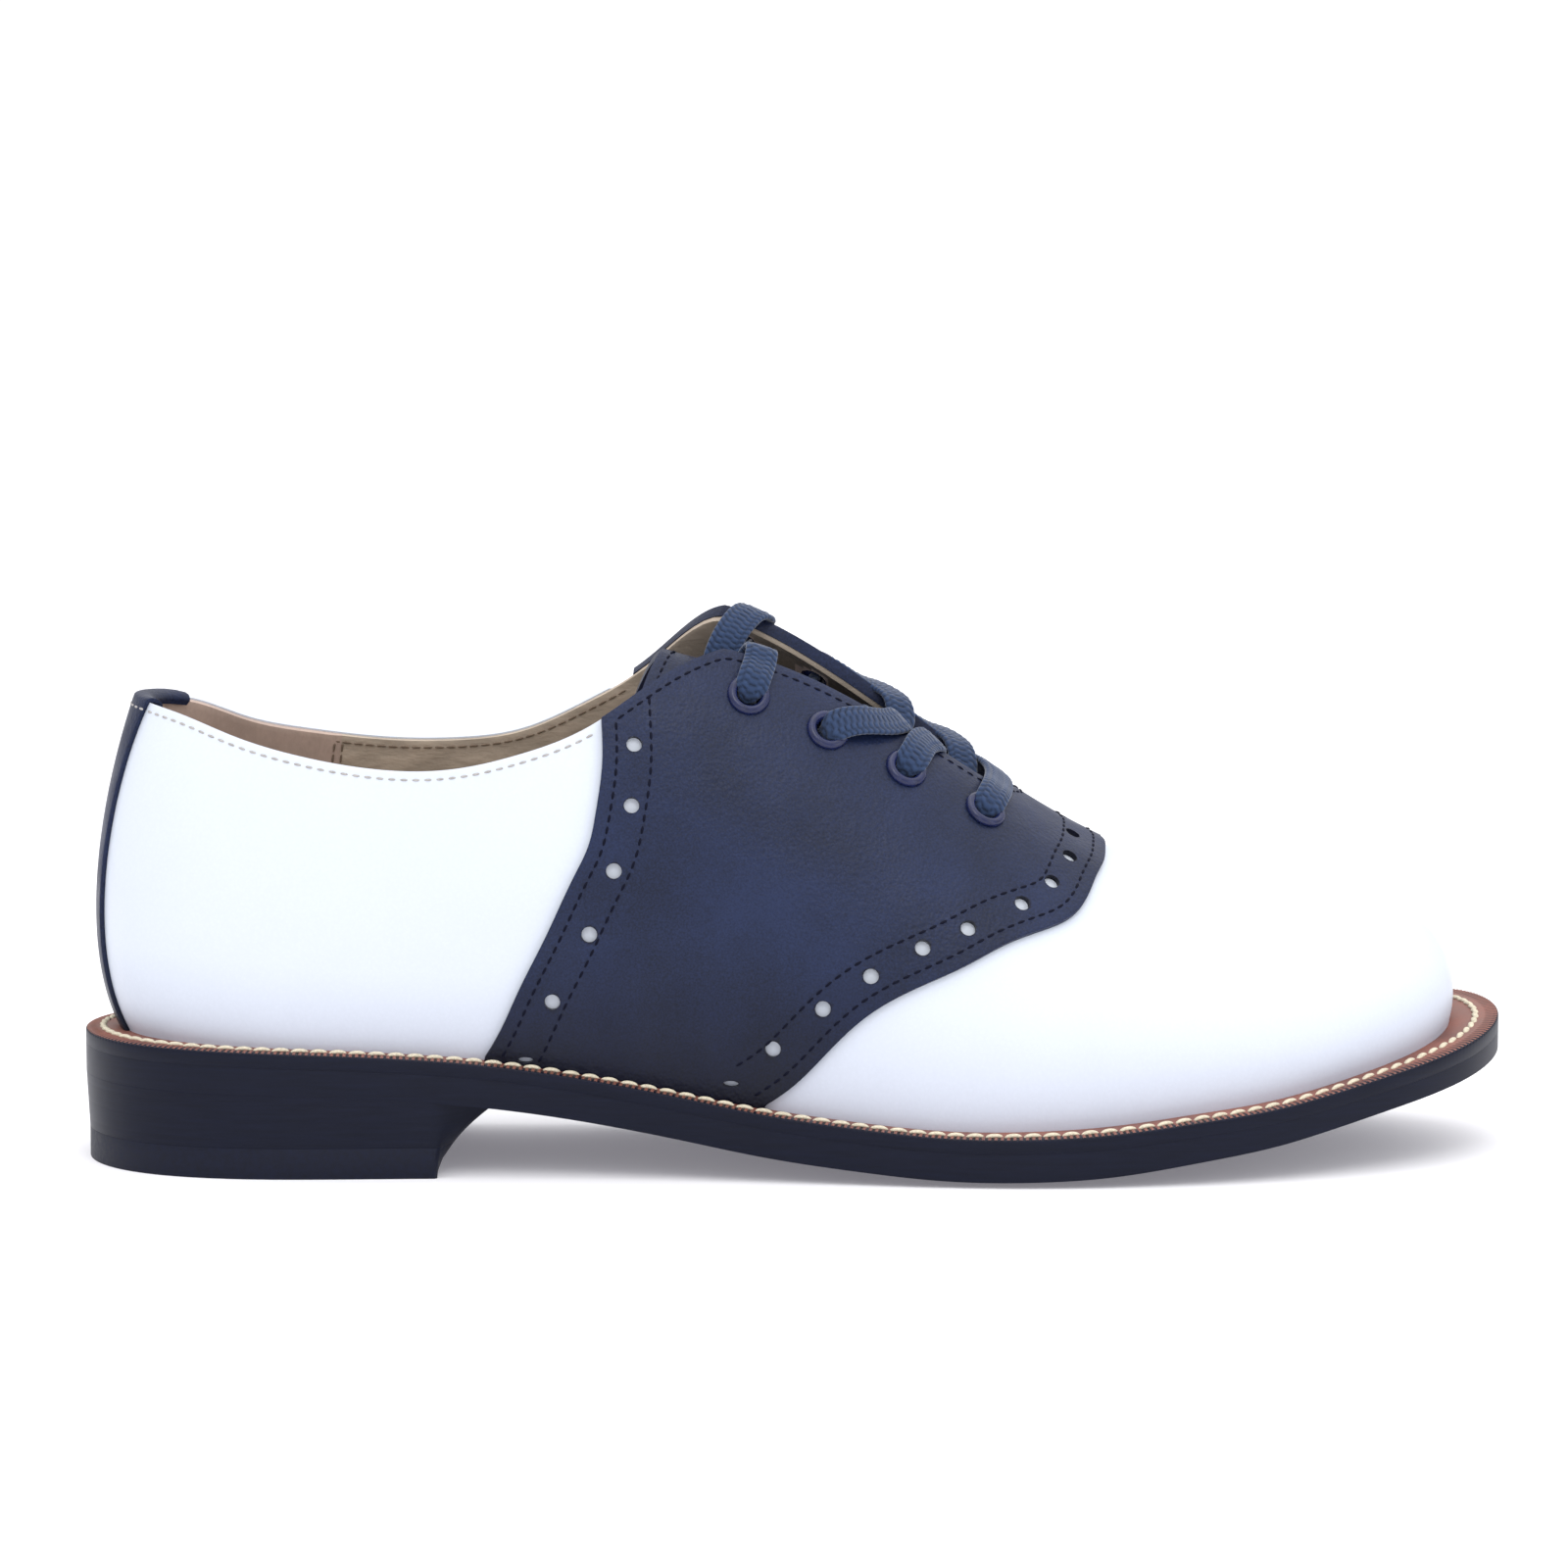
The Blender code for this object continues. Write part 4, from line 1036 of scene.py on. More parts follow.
def strip_angle(offset, rise):
    """Angle at the back of the heel where the surface lies a distance to the side of its middle."""
    low, high = np.zeros_like(offset), np.full_like(offset, 1.0)
    middle_line = foot(np.zeros_like(rise), rise)[..., 1]
    for _ in range(26):
        middle = (low + high) / 2
        angle = np.where(offset < 0, middle, -middle)
        near = np.abs(foot(angle, rise)[..., 1] - middle_line) < np.abs(offset)
        low, high = np.where(near, middle, low), np.where(near, high, middle)
    return np.where(offset < 0, low, -low)


class SHOE_OT_heel_strip(bpy.types.Operator):
    """Make the navy strip over the back seam, folded over the collar"""
    bl_idname = "saddle_shoe.heel_strip"
    bl_label = "Heel strip"

    def execute(self, context):
        thick, tab, tab_widening, foot_widening = 0.9 * MM, 1.0 * MM, 4.2 * MM, 1.2 * MM
        fold_start, fold_end = 0.78, 0.86
        top = float(top_rise(0.0, LATERAL))
        unit_rise = float(np.linalg.norm(foot(0.0, top) - foot(0.0, top - 0.01))) / 0.01

        def place(across, up, extra=thick):
            flat = np.minimum(up / fold_start, 1.0)
            turn = np.clip((up - fold_start) / (fold_end - fold_start), 0, 1) * math.pi
            down = np.clip((up - fold_end) / (1 - fold_end), 0, 1)
            rise = -TUCK + (top + TUCK) * flat - down * tab / unit_rise
            widening = tab_widening * ease((up - fold_start - 0.015) / 0.035) * (across > 0.5)
            half = STRIP_HALF + foot_widening * (1 - flat) ** 2 + widening
            angle = strip_angle((2 * across - 1) * half, np.clip(rise, 0.0, 1.0))
            rise = rise + by_side(angle, top_rise) - top
            middle = -UPPER_WALL / 2 - 0.1 * MM
            depth = middle + (0.05 * MM + extra - middle) * np.cos(turn)
            lift = unit(foot(angle, top) - foot(angle, top - 0.01))
            lift *= (np.sin(turn) * (0.25 * MM + extra))[..., None]
            return on_foot(angle, rise, depth) + lift
        piece = mark_rise(spread_grid("heel_strip_leather", 18, 120, place))
        give_wall(piece, thick, lambda sheet, across, up: place(across, up, 0.0))
        flip_if_inward(piece)
        round_edges(piece, 0.25 * MM, 2)
        finish(piece, [navy_leather()], "navy_leather", ["heel_strip"])
        return {"FINISHED"}


def flip_if_inward(piece):
    """Turns every face of a closed piece round if they point inward."""
    mesh = piece.data
    mesh.calc_loop_triangles()
    points = points_of(mesh)
    corners = np.array([loop.vertices[:] for loop in mesh.loop_triangles])
    a, b, c = (points[corners[:, k]] for k in range(3))
    if float(np.einsum("ij,ij->i", a, np.cross(b, c)).sum()) < 0:
        mesh.flip_normals()
    return piece


def on_tongue(share, way, depth=0.0):
    """Points over (+) or under (-) the tongue's face, which sinks behind the throat."""
    place = wrapped(share, way, depth - TONGUE_DEPTH)
    place[..., 2] -= TONGUE_SAG * ease((0.60 - np.asarray(share)) / 0.19)
    return place


def tongue_top(way):
    """Share of the tongue's free end, which is rounded."""
    middle, rounding = 0.407, 0.020
    return middle - rounding * np.abs(way) ** 1.5


class SHOE_OT_tongue(bpy.types.Operator):
    """Make the tongue under the facings"""
    bl_idname = "saddle_shoe.tongue"
    bl_label = "Tongue"

    def execute(self, context):
        thick, low_end, narrowing, narrow_start = 1.8 * MM, 0.760, 0.100, 0.60

        def place(across, up, extra=0.0):
            way = 2 * up - 1
            top = tongue_top(way)
            share = top + (low_end - top) * across
            narrow = ease((share - narrow_start) / (low_end - narrow_start))
            return on_tongue(share, way * (TONGUE_HALF - narrowing * narrow), -extra)
        piece = mark_rise(spread_grid("tongue_leather", 110, 48, place), 1.0)
        give_wall(piece, thick, lambda sheet, across, up: place(across, up, thick))
        flip_if_inward(piece)
        round_edges(piece, 0.4 * MM, 3)
        finish(piece, [navy_leather()], "navy_leather", ["tongue"])
        return {"FINISHED"}


# ---- stitching

def along_path(path, chart, pitch, depth):
    """Evenly spaced places on a path of chart coordinates, with directions ahead and outward."""
    depth = np.broadcast_to(depth, len(path))
    points = chart(*path.T, depth)
    lift = unit(chart(*path.T, depth + MM) - points)
    reach = reach_along(points)
    count = max(int(round(reach[-1] / pitch)), 1)
    marks = (np.arange(count) + 0.5) * reach[-1] / count
    before, after = (read_at(marks + part * pitch / 3, reach, points) for part in (-1, 1))
    return read_at(marks, reach, points), unit(after - before), unit(read_at(marks, reach, lift))


def shifted(path, chart, distance, steps=8):
    """A path moved sideways on its surface by a distance, to the left of its way (- right)."""
    path, nudge = np.array(path, float), 1e-4
    for _ in range(steps):
        one, two = path.T
        here = chart(one, two)
        first = (chart(one + nudge, two) - here) / nudge
        second = (chart(one, two + nudge) - here) / nudge
        ahead = unit(np.gradient(here, axis=0))
        lift = unit(np.cross(first, second))
        aim = unit(np.cross(lift, ahead)) * distance / steps
        a, b, c = ((first * first).sum(1), (first * second).sum(1), (second * second).sum(1))
        p, q = (first * aim).sum(1), (second * aim).sum(1)
        ground = a * c - b * b
        path = path + np.stack(((c * p - b * q) / ground, (a * q - b * p) / ground), -1)
    return path


def evened(path, chart, spacing=0.8 * MM, blur=0):
    """A path with points at an even spacing, smoothed a little."""
    reach = reach_along(chart(*path.T))
    path = read_at(np.linspace(0, reach[-1], max(int(reach[-1] / spacing), 2)), reach, path)
    for _ in range(blur):
        path[1:-1] = (path[:-2] + 2 * path[1:-1] + path[2:]) / 4
    return path


def seam(name, rows, width, height, pitch, thread, slot, nodes, segments=8, rings=6, slant=0.0,
         fill=0.80):
    """A piece of many stitches, which dip in at their ends; rows are (places, ahead, up)."""
    places, ahead, up = (np.concatenate([row[k] for row in rows]) for k in range(3))
    deselect()
    bpy.ops.mesh.primitive_uv_sphere_add(segments=segments, ring_count=rings, radius=1)
    model = bpy.context.object
    points = points_of(model.data)
    long = points[:, 2].copy()
    half = pitch * fill / 2
    thick = np.sqrt(np.clip(1 - np.abs(long) ** 3.0, 0, 1))
    thick /= np.maximum(np.sqrt(1 - long ** 2), 0.05)
    shaped = np.stack((long * half, points[:, 0] * width / 2 * thick,
                       points[:, 1] * height / 2 * thick - height * 0.35 * long ** 2), -1)
    set_points(model.data, shaped)
    turns = frames_along(up, ahead)
    if slant:
        c, s = math.cos(slant), math.sin(slant)
        turns = turns @ np.array(((c, -s, 0), (s, c, 0), (0, 0, 1)))
    piece = copies(name, model, places, turns)
    with editing(piece) as mesh:
        mesh.normals_make_consistent(inside=False)
    return finish(piece, [thread], slot, nodes, 60)


def collar_path(last=0.358):
    """The topline from the saddle round the heel to the saddle, as angles and rises."""
    start, end = angle_at(last + MEDIAL_SHIFT, LATERAL), angle_at(last, LATERAL)
    angle = np.linspace(-float(start), float(end), 300)
    return np.stack((angle, by_side(angle, top_rise)), -1)


def throat_path():
    """The topline and the facings' edge inside the saddle, round the throat, as shares and ways."""
    halves = []
    for side in SIDES:
        share = edge_shares(0.372, side, 160, 60)
        halves.append(np.stack((share, side * (1 - top_rise(share, side))), -1))
    return np.concatenate([halves[0], halves[1][::-1][1:]])


class SHOE_OT_stitching(bpy.types.Operator):
    """Make the seams of the upper"""
    bl_idname = "saddle_shoe.stitching"
    bl_label = "Stitching"

    def execute(self, context):
        size = sizes()
        pitch = size.pitch
        ring = evened(shifted(collar_path(), on_foot, -size.seam_inset), on_foot)
        over_strip = np.abs(on_foot(*ring.T)[:, 1]) < STRIP_HALF + 0.6 * MM
        rows = [along_path(ring, on_foot, pitch, np.where(over_strip, 1.0 * MM, 0.05 * MM))]
        # the white thread is coloured grey: painted shade of the stitches on the white leather
        white = look("grey_shaded_white_thread", waxed, (0.40, 0.38, 0.37))
        seam("collar_seam", rows, 0.46 * MM, 0.34 * MM, pitch, white, "white_leather", ["upper"],
             fill=0.66)

        inside = [along_path(ring, on_foot, pitch, -UPPER_WALL - 0.25 * MM)]
        for shift in (-0.9 * MM, 0.9 * MM):
            share = SEAM_SHARE + shift / SOLE_LENGTH
            for side in SIDES:
                angle = float(angle_at(share, side))
                upward = np.linspace(0.15, float(top_rise(share, side)) - 0.015, 60)
                column_path = np.stack((np.full(60, angle), upward), -1)
                depth = -UPPER_WALL - (0.25 if shift > 0 else 0.6) * MM
                inside.append(along_path(column_path, on_foot, pitch, depth))
        beige = look("lining_thread", waxed, (0.20, 0.15, 0.11))
        seam("lining_seam", inside, 0.45 * MM, 0.34 * MM, pitch, beige, "lining_leather", ["upper"])

        navy = look("navy_thread", waxed, (0.0015, 0.0025, 0.012))
        way = np.linspace(-0.92, 0.92, 120)
        end = np.stack((tongue_top(way) + 2.5 * MM / SOLE_LENGTH, way * TONGUE_HALF), -1)
        seam("tongue_seam", [along_path(end, on_tongue, pitch, 0.05 * MM)], 0.52 * MM, 0.36 * MM,
             pitch, navy, "navy_leather", ["tongue"], fill=0.72)
        throat = evened(throat_path(), wrapped, blur=2)
        paths = [evened(shifted(throat, wrapped, -2.0 * MM), wrapped, blur=4)]
        marks, lowest = np.linspace(0.0, 1.0, 260), 0.992
        front = front_path(marks)
        for inset in (size.outer_row, size.inner_row):
            path = evened(shifted(front, wrapped, inset), wrapped, blur=3)
            paths.append(path[np.abs(path[:, 1]) < lowest])
            for side in SIDES:
                rear = rear_edge(side)(marks)
                rear[:, 1] = side * (1 - rear[:, 1])
                path = shifted(rear, wrapped, inset * side)
                beyond = np.linspace(0, 1, 40)[1:, None] * (path[-1] - path[-8]) * 4
                path = evened(np.concatenate([path, path[-1] + beyond]), wrapped)
                limit = top_rise(path[:, 0], side) - 0.022
                way = np.abs(path[:, 1])
                paths.append(path[(1 - way < limit) & (way < lowest)])
        rows = [along_path(path, wrapped, pitch, size.leather + 0.04 * MM) for path in paths]
        seam("saddle_seam", rows, 0.52 * MM, 0.42 * MM, pitch, navy, "navy_leather", ["saddle"],
             fill=0.74)
        return {"FINISHED"}


# ---- welt, sole and heel

OUTLINE_ANGLES = np.linspace(0, TURN, 4001)
OUTLINE_REACH = reach_along(np.stack(sole_edge(OUTLINE_ANGLES), -1))


def outline_angle(part):
    """Angle at a share of the way round the sole's outline, evenly by length."""
    return np.interp(np.asarray(part) * OUTLINE_REACH[-1], OUTLINE_REACH, OUTLINE_ANGLES)


def inset_point(angle, inset):
    """Point of the outline moved straight inward by an inset."""
    step = 0.002
    x, y = sole_edge(angle)
    x1, y1 = sole_edge(angle + step)
    x0, y0 = sole_edge(angle - step)
    across = unit(np.stack((y0 - y1, x1 - x0), -1))
    return x + across[..., 0] * inset, y + across[..., 1] * inset


class SHOE_OT_welt(bpy.types.Operator):
    """Make the welt with its wheel marks, and its thick stitches"""
    bl_idname = "saddle_shoe.welt"
    bl_label = "Welt"

    def execute(self, context):
        size = sizes()
        ridges = int(OUTLINE_REACH[-1] / size.wheel_pitch)
        # inset from the outline, depth under the seat's height and strength of the wheel marks
        profile = np.array([
            (17.0, -3.2, 0), (0.02, -3.2, 0), (0.00, -3.18, 0), (0.00, -0.9, 0),
            (0.05, -0.55, 0.2), (0.25, -0.32, 0.6), (0.55, -0.20, 1), (1.10, -0.08, 1),
            (1.70, -0.02, 1), (2.40, -0.02, 0.9), (2.80, -0.05, 0.2), (3.05, -0.10, 0),
            (3.30, -0.05, 0), (3.60, 0.0, 0), (9.0, 0.0, 0), (17.0, 0.0, 0)])
        rows = len(profile) - 1

        def profile_at(up):
            return profile[np.clip(np.round(up * rows).astype(int), 0, rows)].T

        def wheel(across):
            return 0.5 - 0.5 * np.cos(across * ridges * TURN)

        def place(across, up):
            inset, low, strength = profile_at(up)
            angle = outline_angle(across)
            x, y = inset_point(angle, inset * MM)
            z = seat(x, y) + (low - 0.32 * strength * wheel(across)) * MM
            out = 0.10 * MM * strength * (1 - wheel(across))
            return place_at(*inset_point(angle, inset * MM - out), z)
        piece = spread_grid("welt", ridges * 4, rows, place)
        across, up = marks_of(piece.data, "across"), marks_of(piece.data, "up")
        mark(piece.data, "wheel", profile_at(up)[2] * wheel(across))
        merge(piece)
        flip_if_inward(piece)
        brown = look("tanned_welt", tanned, colours().welt, colours().edge)
        finish(piece, [brown, painted_edge()], "welt_leather", ["midsole"], 50)
        paint_edge(piece, 0.34 * MM)

        stitch_inset = curve_through((0.0, 0.10, 0.30, 0.75, 0.90, 1.0),
                                     (3.4, 2.9, 2.7, 2.7, 3.6, 4.6))
        count = int(round(OUTLINE_REACH[-1] / size.welt_pitch))
        part = (np.arange(count) + 0.5) / count

        def line(part):
            angle = outline_angle(part)
            x, y = inset_point(angle, stitch_inset(share_at(angle)) * MM)
            return place_at(x, y, seat(x, y) + 0.10 * MM)
        places, step = line(part), 0.2 / count
        ahead = unit(line((part + step) % 1.0) - line((part - step) % 1.0))
        up = unit(np.cross(ahead, np.cross((0.0, 0.0, 1.0), ahead)))
        cream = look("welt_thread", waxed, colours().thread)
        seam("welt_seam", [(places, ahead, up)], 1.20 * MM, 0.85 * MM, size.welt_pitch, cream,
             "welt_leather", ["midsole"], 12, 10, 0.20, 0.94)
        return {"FINISHED"}


def paint_edge(piece, below):
    """Gives the painted material to the faces that lie lower than a depth under the seat."""
    for face in piece.data.polygons:
        x, y = face.center.x + ORIGIN[0], face.center.y + ORIGIN[1]
        if face.center.z < float(seat(x, y)) - below:
            face.material_index = 1


class SHOE_OT_sole(bpy.types.Operator):
    """Make the outsole with its painted edge"""
    bl_idname = "saddle_shoe.sole"
    bl_label = "Outsole"

    def execute(self, context):
        thick, groove_depth, groove_at, groove_width = 2 * MM, 0.25 * MM, 0.07, 0.008

        def tread(x, y, blend):
            crown = TREAD_CROWN * (1 - (2 * blend - 1) ** 2) * ease((x / SOLE_LENGTH - 0.25) / 0.2)
            return np.maximum(seat(x, y) - edge_height(x) - crown, 0.0)

        def ladder(across, up):
            angle = across * math.pi
            near, far = sole_edge(angle), sole_edge(TURN - angle)
            return near[0], near[1] + (far[1] - near[1]) * up

        def top(across, up):
            x, y = ladder(across, up)
            return place_at(x, y, seat(x, y) - WELT_THICKNESS - 0.01 * MM)

        def bottom(across, up):
            x, y = ladder(across, up)
            edge = np.minimum(up, 1 - up)
            groove = groove_depth * np.exp(-((edge - groove_at) / groove_width) ** 2)
            return place_at(x, y, tread(x, y, up) + groove * (np.sin(across * math.pi) > 0.3))
        piece = spread_grid("outsole_leather", 260, 90, top)
        merge(piece)
        count = len(piece.data.vertices)
        give_wall(piece, thick, lambda sheet, across, up: bottom(across, up))
        flip_if_inward(piece)
        up = marks_of(piece.data, "up")
        rim = [k for k in range(count, len(up)) if up[k] < 0.001 or up[k] > 0.999]
        piece.vertex_groups.new(name="rim").add(rim, 1.0, "REPLACE")
        apply_modifier(piece, "BEVEL", width=0.5 * MM, segments=3, limit_method="VGROUP",
                       vertex_group="rim")
        finish(piece, [painted_edge()], "painted_edge", ["outsole"], 45)
        return {"FINISHED"}


class SHOE_OT_heel(bpy.types.Operator):
    """Make the heel of stacked lifts and its rubber top piece"""
    bl_idname = "saddle_shoe.heel"
    bl_label = "Heel"

    def execute(self, context):
        last = math.acos(1 - 2 * HEEL_LENGTH / SOLE_LENGTH)
        round_part, lifts, taper_end = 0.74, 3, 0.6 * MM

        def outline(across, grow):
            turn = (2 * np.clip(across / round_part, 0, 1) - 1) * last
            x, y = sole_edge(turn % TURN, grow)
            near, far = sole_edge(TURN - last, grow), sole_edge(last, grow)
            blend = np.clip((across - round_part) / (1 - round_part), 0, 1)
            breast = across > round_part + 1e-9
            y = np.where(breast, far[1] + (near[1] - far[1]) * blend, y)
            x = np.where(breast, near[0], x)
            return x, y, np.where(breast, blend, 0.0)

        def under_sole(x, y):
            return seat(x, y) - EDGE_HEEL - 0.01 * MM

        def breast_window(blend):
            return np.clip(np.sin(np.clip(blend, 0, 1) * math.pi) * 3.2, 0, 1)

        def breast(x, blend, z, window):
            """The breast is hollow and sweeps forward as it rises to the sole."""
            hollow, sweep, sweep_height = 0.8 * MM, 13 * MM, 15.5 * MM
            return (x - hollow * np.sin(blend * math.pi) ** 0.8
                    + sweep * window * np.clip(z / sweep_height, 0, 1) ** 1.4)

        def heel_place(across, up):
            groove = np.exp(-((((up * lifts) % 1.0) - 0.5) / 0.06) ** 2) * (up > 0.02) * (up < 0.98)
            x, y, blend = outline(across, taper_end * (1 - up) + 0.03 * MM * groove)
            window = breast_window(blend)
            low = TOP_PIECE + 0.02 * MM
            height = np.where(blend > 0, np.sin(up * math.pi / 2) * window + up * (1 - window), up)
            z = low + (under_sole(x, y) - low) * height
            x = breast(x, blend, z, window)
            return place_at(x, y, low + (under_sole(x, y) - low) * height)

        def lift_place(across, up):
            x, y, blend = outline(across, taper_end)
            z = TOP_PIECE * up
            return place_at(breast(x, blend, z, breast_window(blend)), y, z)
        dark = look("dark_rubber", rubber, shade(colours().edge, 1.1))
        for name, rows, place, material, slot, node in (
                ("heel_block", 40, heel_place, painted_edge(), "painted_edge", "heel"),
                ("heel_top_piece", 2, lift_place, dark, "tread_rubber", "top_piece")):
            piece = spread_grid(name, 260, rows, place)
            merge(piece)
            close_caps(piece)
            round_edges(piece, 0.08 * MM, 2, 50)
            finish(piece, [material], slot, [node])
        return {"FINISHED"}


def close_caps(piece):
    """Fills the open top and bottom of a wall and turns its faces outward."""
    with editing(piece) as mesh:
        mesh.select_mode(type="EDGE")
        mesh.select_all(action="DESELECT")
        mesh.select_non_manifold()
        mesh.edge_face_add()
        mesh.select_all(action="SELECT")
        mesh.normals_make_consistent(inside=False)
        mesh.select_mode(type="VERT")
    return piece


class SHOE_OT_insole(bpy.types.Operator):
    """Make the insole with its heel pad"""
    bl_idname = "saddle_shoe.insole"
    bl_label = "Insole"

    def execute(self, context):
        start, end = LEVEL_SPAN["feather"]
        inset, thick, pad_height, cup_height = 2.6 * MM, 2.6 * MM, 0.5 * MM, 1.2 * MM
        pad_end, pad_fade = 66 * MM, 4 * MM

        def ladder(across, up):
            angle = across * math.pi
            share = share_at(angle)
            x = SOLE_LENGTH * (start + (end - start) * share) + inset * (1 - 2 * share)
            near, far = WIDTH["feather"](angle), WIDTH["feather"](TURN - angle)
            near = near * np.clip(1 - inset / np.maximum(np.abs(near), 1e-6), 0, 1)
            far = far * np.clip(1 - inset / np.maximum(np.abs(far), 1e-6), 0, 1)
            return x, swing(share) + near + (far - near) * up

        def top(across, up):
            x, y = ladder(across, up)
            pad = pad_height * ease((pad_end - x) / pad_fade)
            cup = cup_height * (2 * up - 1) ** 4
            return place_at(x, y, seat(x, y) + GAP + thick + pad + cup)

        def bottom(sheet, across, up):
            x, y = ladder(across, up)
            return place_at(x, y, seat(x, y) + GAP)
        piece = spread_grid("sock_lining", 160, 40, top)
        merge(piece)
        give_wall(piece, thick, bottom)
        flip_if_inward(piece)
        round_edges(piece, 0.4 * MM, 2, 50)
        finish(piece, [lining_leather()], "lining_leather", ["insole"])
        return {"FINISHED"}


# ---- eyelets and lace

class SHOE_OT_eyelets(bpy.types.Operator):
    """Make the eight enamelled eyelets"""
    bl_idname = "saddle_shoe.eyelets"
    bl_label = "Eyelets"

    def execute(self, context):
        outer = sizes().eyelet / 2
        # radius and height of the ring's profile, from the foot of the barrel up and over the rim
        profile = [(2.75, -2.2), (2.45, -2.2), (2.35, -0.5), (2.38, 1.55), (2.62, 2.05),
                   (2.95, 2.28), (3.35, 2.34), (3.75, 2.22), (4.08, 1.95), (4.25, 1.55),
                   (4.22, 1.20), (3.9, 1.16), (2.80, 1.16)]
        scale = outer / (max(column(profile, 0)) * MM)
        deselect()
        bpy.ops.mesh.primitive_circle_add(vertices=48, radius=profile[0][0] * MM * scale,
                                          location=(0, 0, 0))
        model = bpy.context.object
        set_points(model.data, points_of(model.data) + (0, 0, profile[0][1] * MM))
        with editing(model) as mesh:
            for (r0, z0), (r1, z1) in zip(profile, profile[1:]):
                mesh.extrude_edges_move(TRANSFORM_OT_translate={"value": (0, 0, (z1 - z0) * MM)})
                bpy.ops.transform.resize(value=(r1 / r0, r1 / r0, 1), center_override=(0, 0, 0))
            mesh.select_all(action="DESELECT")
            mesh.select_non_manifold()
            mesh.bridge_edge_loops()
            mesh.select_all(action="SELECT")
            mesh.normals_make_consistent(inside=False)
        blue = look("enamel", enamelled, colours().enamel)
        for side, name in ((LATERAL, "lateral"), (MEDIAL, "medial")):
            for row in range(len(EYELET_ROWS)):
                angle, rise = eyelet_place(row, side)
                turn = frames_along(outward(angle, rise)[None])[0]
                move = Matrix([(*turn[k], foot(angle, rise)[k]) for k in range(3)] + [(0, 0, 0, 1)])
                mesh = model.data.copy()
                mesh.transform(move)
                piece = bpy.data.objects.new("ring_%s_%d" % (name, row + 1), mesh)
                bpy.context.scene.collection.objects.link(piece)
                finish(piece, [blue], "navy_enamel", ["eyelet_%s_%d" % (name, row + 1)], 60)
        bpy.data.objects.remove(model, do_unlink=True)
        return {"FINISHED"}


def eyelet_stop(row, side, depth):
    """Stop of the lace at an eyelet: share, signed way from the ridge, depth."""
    share, lateral, medial = EYELET_ROWS[row]
    return share, side * (1 - (lateral if side < 0 else medial)), depth


def edge_stop(share, side, depth, past=0.0):
    """Stop of the lace at a facing's edge, moved past it toward the throat."""
    return share, side * (1 - float(top_rise(share, side)) - past), depth


def lace_runs():
    """Each run of the lace as its stops, from eyelet to eyelet."""
    edge, rim = 2.0 * MM, 3.1 * MM

    def outside(row, side, ahead):
        """Stops out of an eyelet's bore and over its rim, toward the next stop."""
        bore = eyelet_stop(row, side, -0.4 * MM)
        over = 2.8 * MM if side == LATERAL else 2.0 * MM
        step = np.array(ahead[:2]) - bore[:2]
        step *= rim / np.linalg.norm(step * (SHARE_MM * MM, INSTEP_RISE_MM * MM))
        return [bore, (*(bore[:2] + step * 0.28), 1.9 * MM), (*(bore[:2] + step), over)]

    def inside(row, side):
        """Stops out of an eyelet's bore under the leather."""
        return [eyelet_stop(row, side, -1.6 * MM), eyelet_stop(row, side, LACE_UNDER)]
    low_edge = edge - 0.3 * MM
    near, far = (edge_stop(0.682, side, low_edge, -0.01) for side in SIDES)
    runs = {"bar": outside(3, LATERAL, near) + [near, (0.690, 0.0, low_edge), far]
            + outside(3, MEDIAL, far)[::-1]}
    for name, low, high, side, cross in (
            ("cross_a", 3, 2, LATERAL, 0.655), ("cross_b", 3, 2, MEDIAL, 0.624),
            ("cross_c", 2, 1, MEDIAL, 0.596), ("cross_d", 2, 1, LATERAL, 0.600)):
        start = EYELET_ROWS[low][0]
        last = edge_stop(cross - 0.006, -side, edge + 0.1 * MM, -0.012)
        runs[name] = inside(low, side) + [
            edge_stop(start - 0.004, side, LACE_UNDER, 0.018),
            edge_stop(cross + 0.012, -side, -1.4 * MM, 0.062),
            edge_stop(cross + 0.003, -side, edge - 0.5 * MM, 0.020), last,
        ] + outside(high, -side, last)[::-1]
    share = EYELET_ROWS[0][0]
    for name, side in (("lateral", LATERAL), ("medial", MEDIAL)):
        runs["rise_" + name] = inside(1, side) + inside(0, side)[::-1]
        first = edge_stop(share + 0.008, side, edge, -0.010)
        runs["tuck_" + name] = outside(0, side, first) + [first] + {
            LATERAL: [edge_stop(share + 0.009, side, edge - 0.1 * MM, 0.020),
                      edge_stop(share + 0.009, side, -1.2 * MM, 0.042),
                      edge_stop(share + 0.006, side, LACE_UNDER - MM, 0.022),
                      edge_stop(share + 0.003, side, LACE_UNDER - 2.5 * MM, -0.06)],
            MEDIAL: [edge_stop(share + 0.003, side, edge - 0.3 * MM, 0.025),
                     (share - 0.006, -0.04, -0.6 * MM), (share - 0.013, -0.13, -3.4 * MM),
                     (share - 0.018, -0.22, -6.4 * MM), (share - 0.020, -0.30, -8.6 * MM)],
        }[side]
    return runs


LACE_SIDES = 34


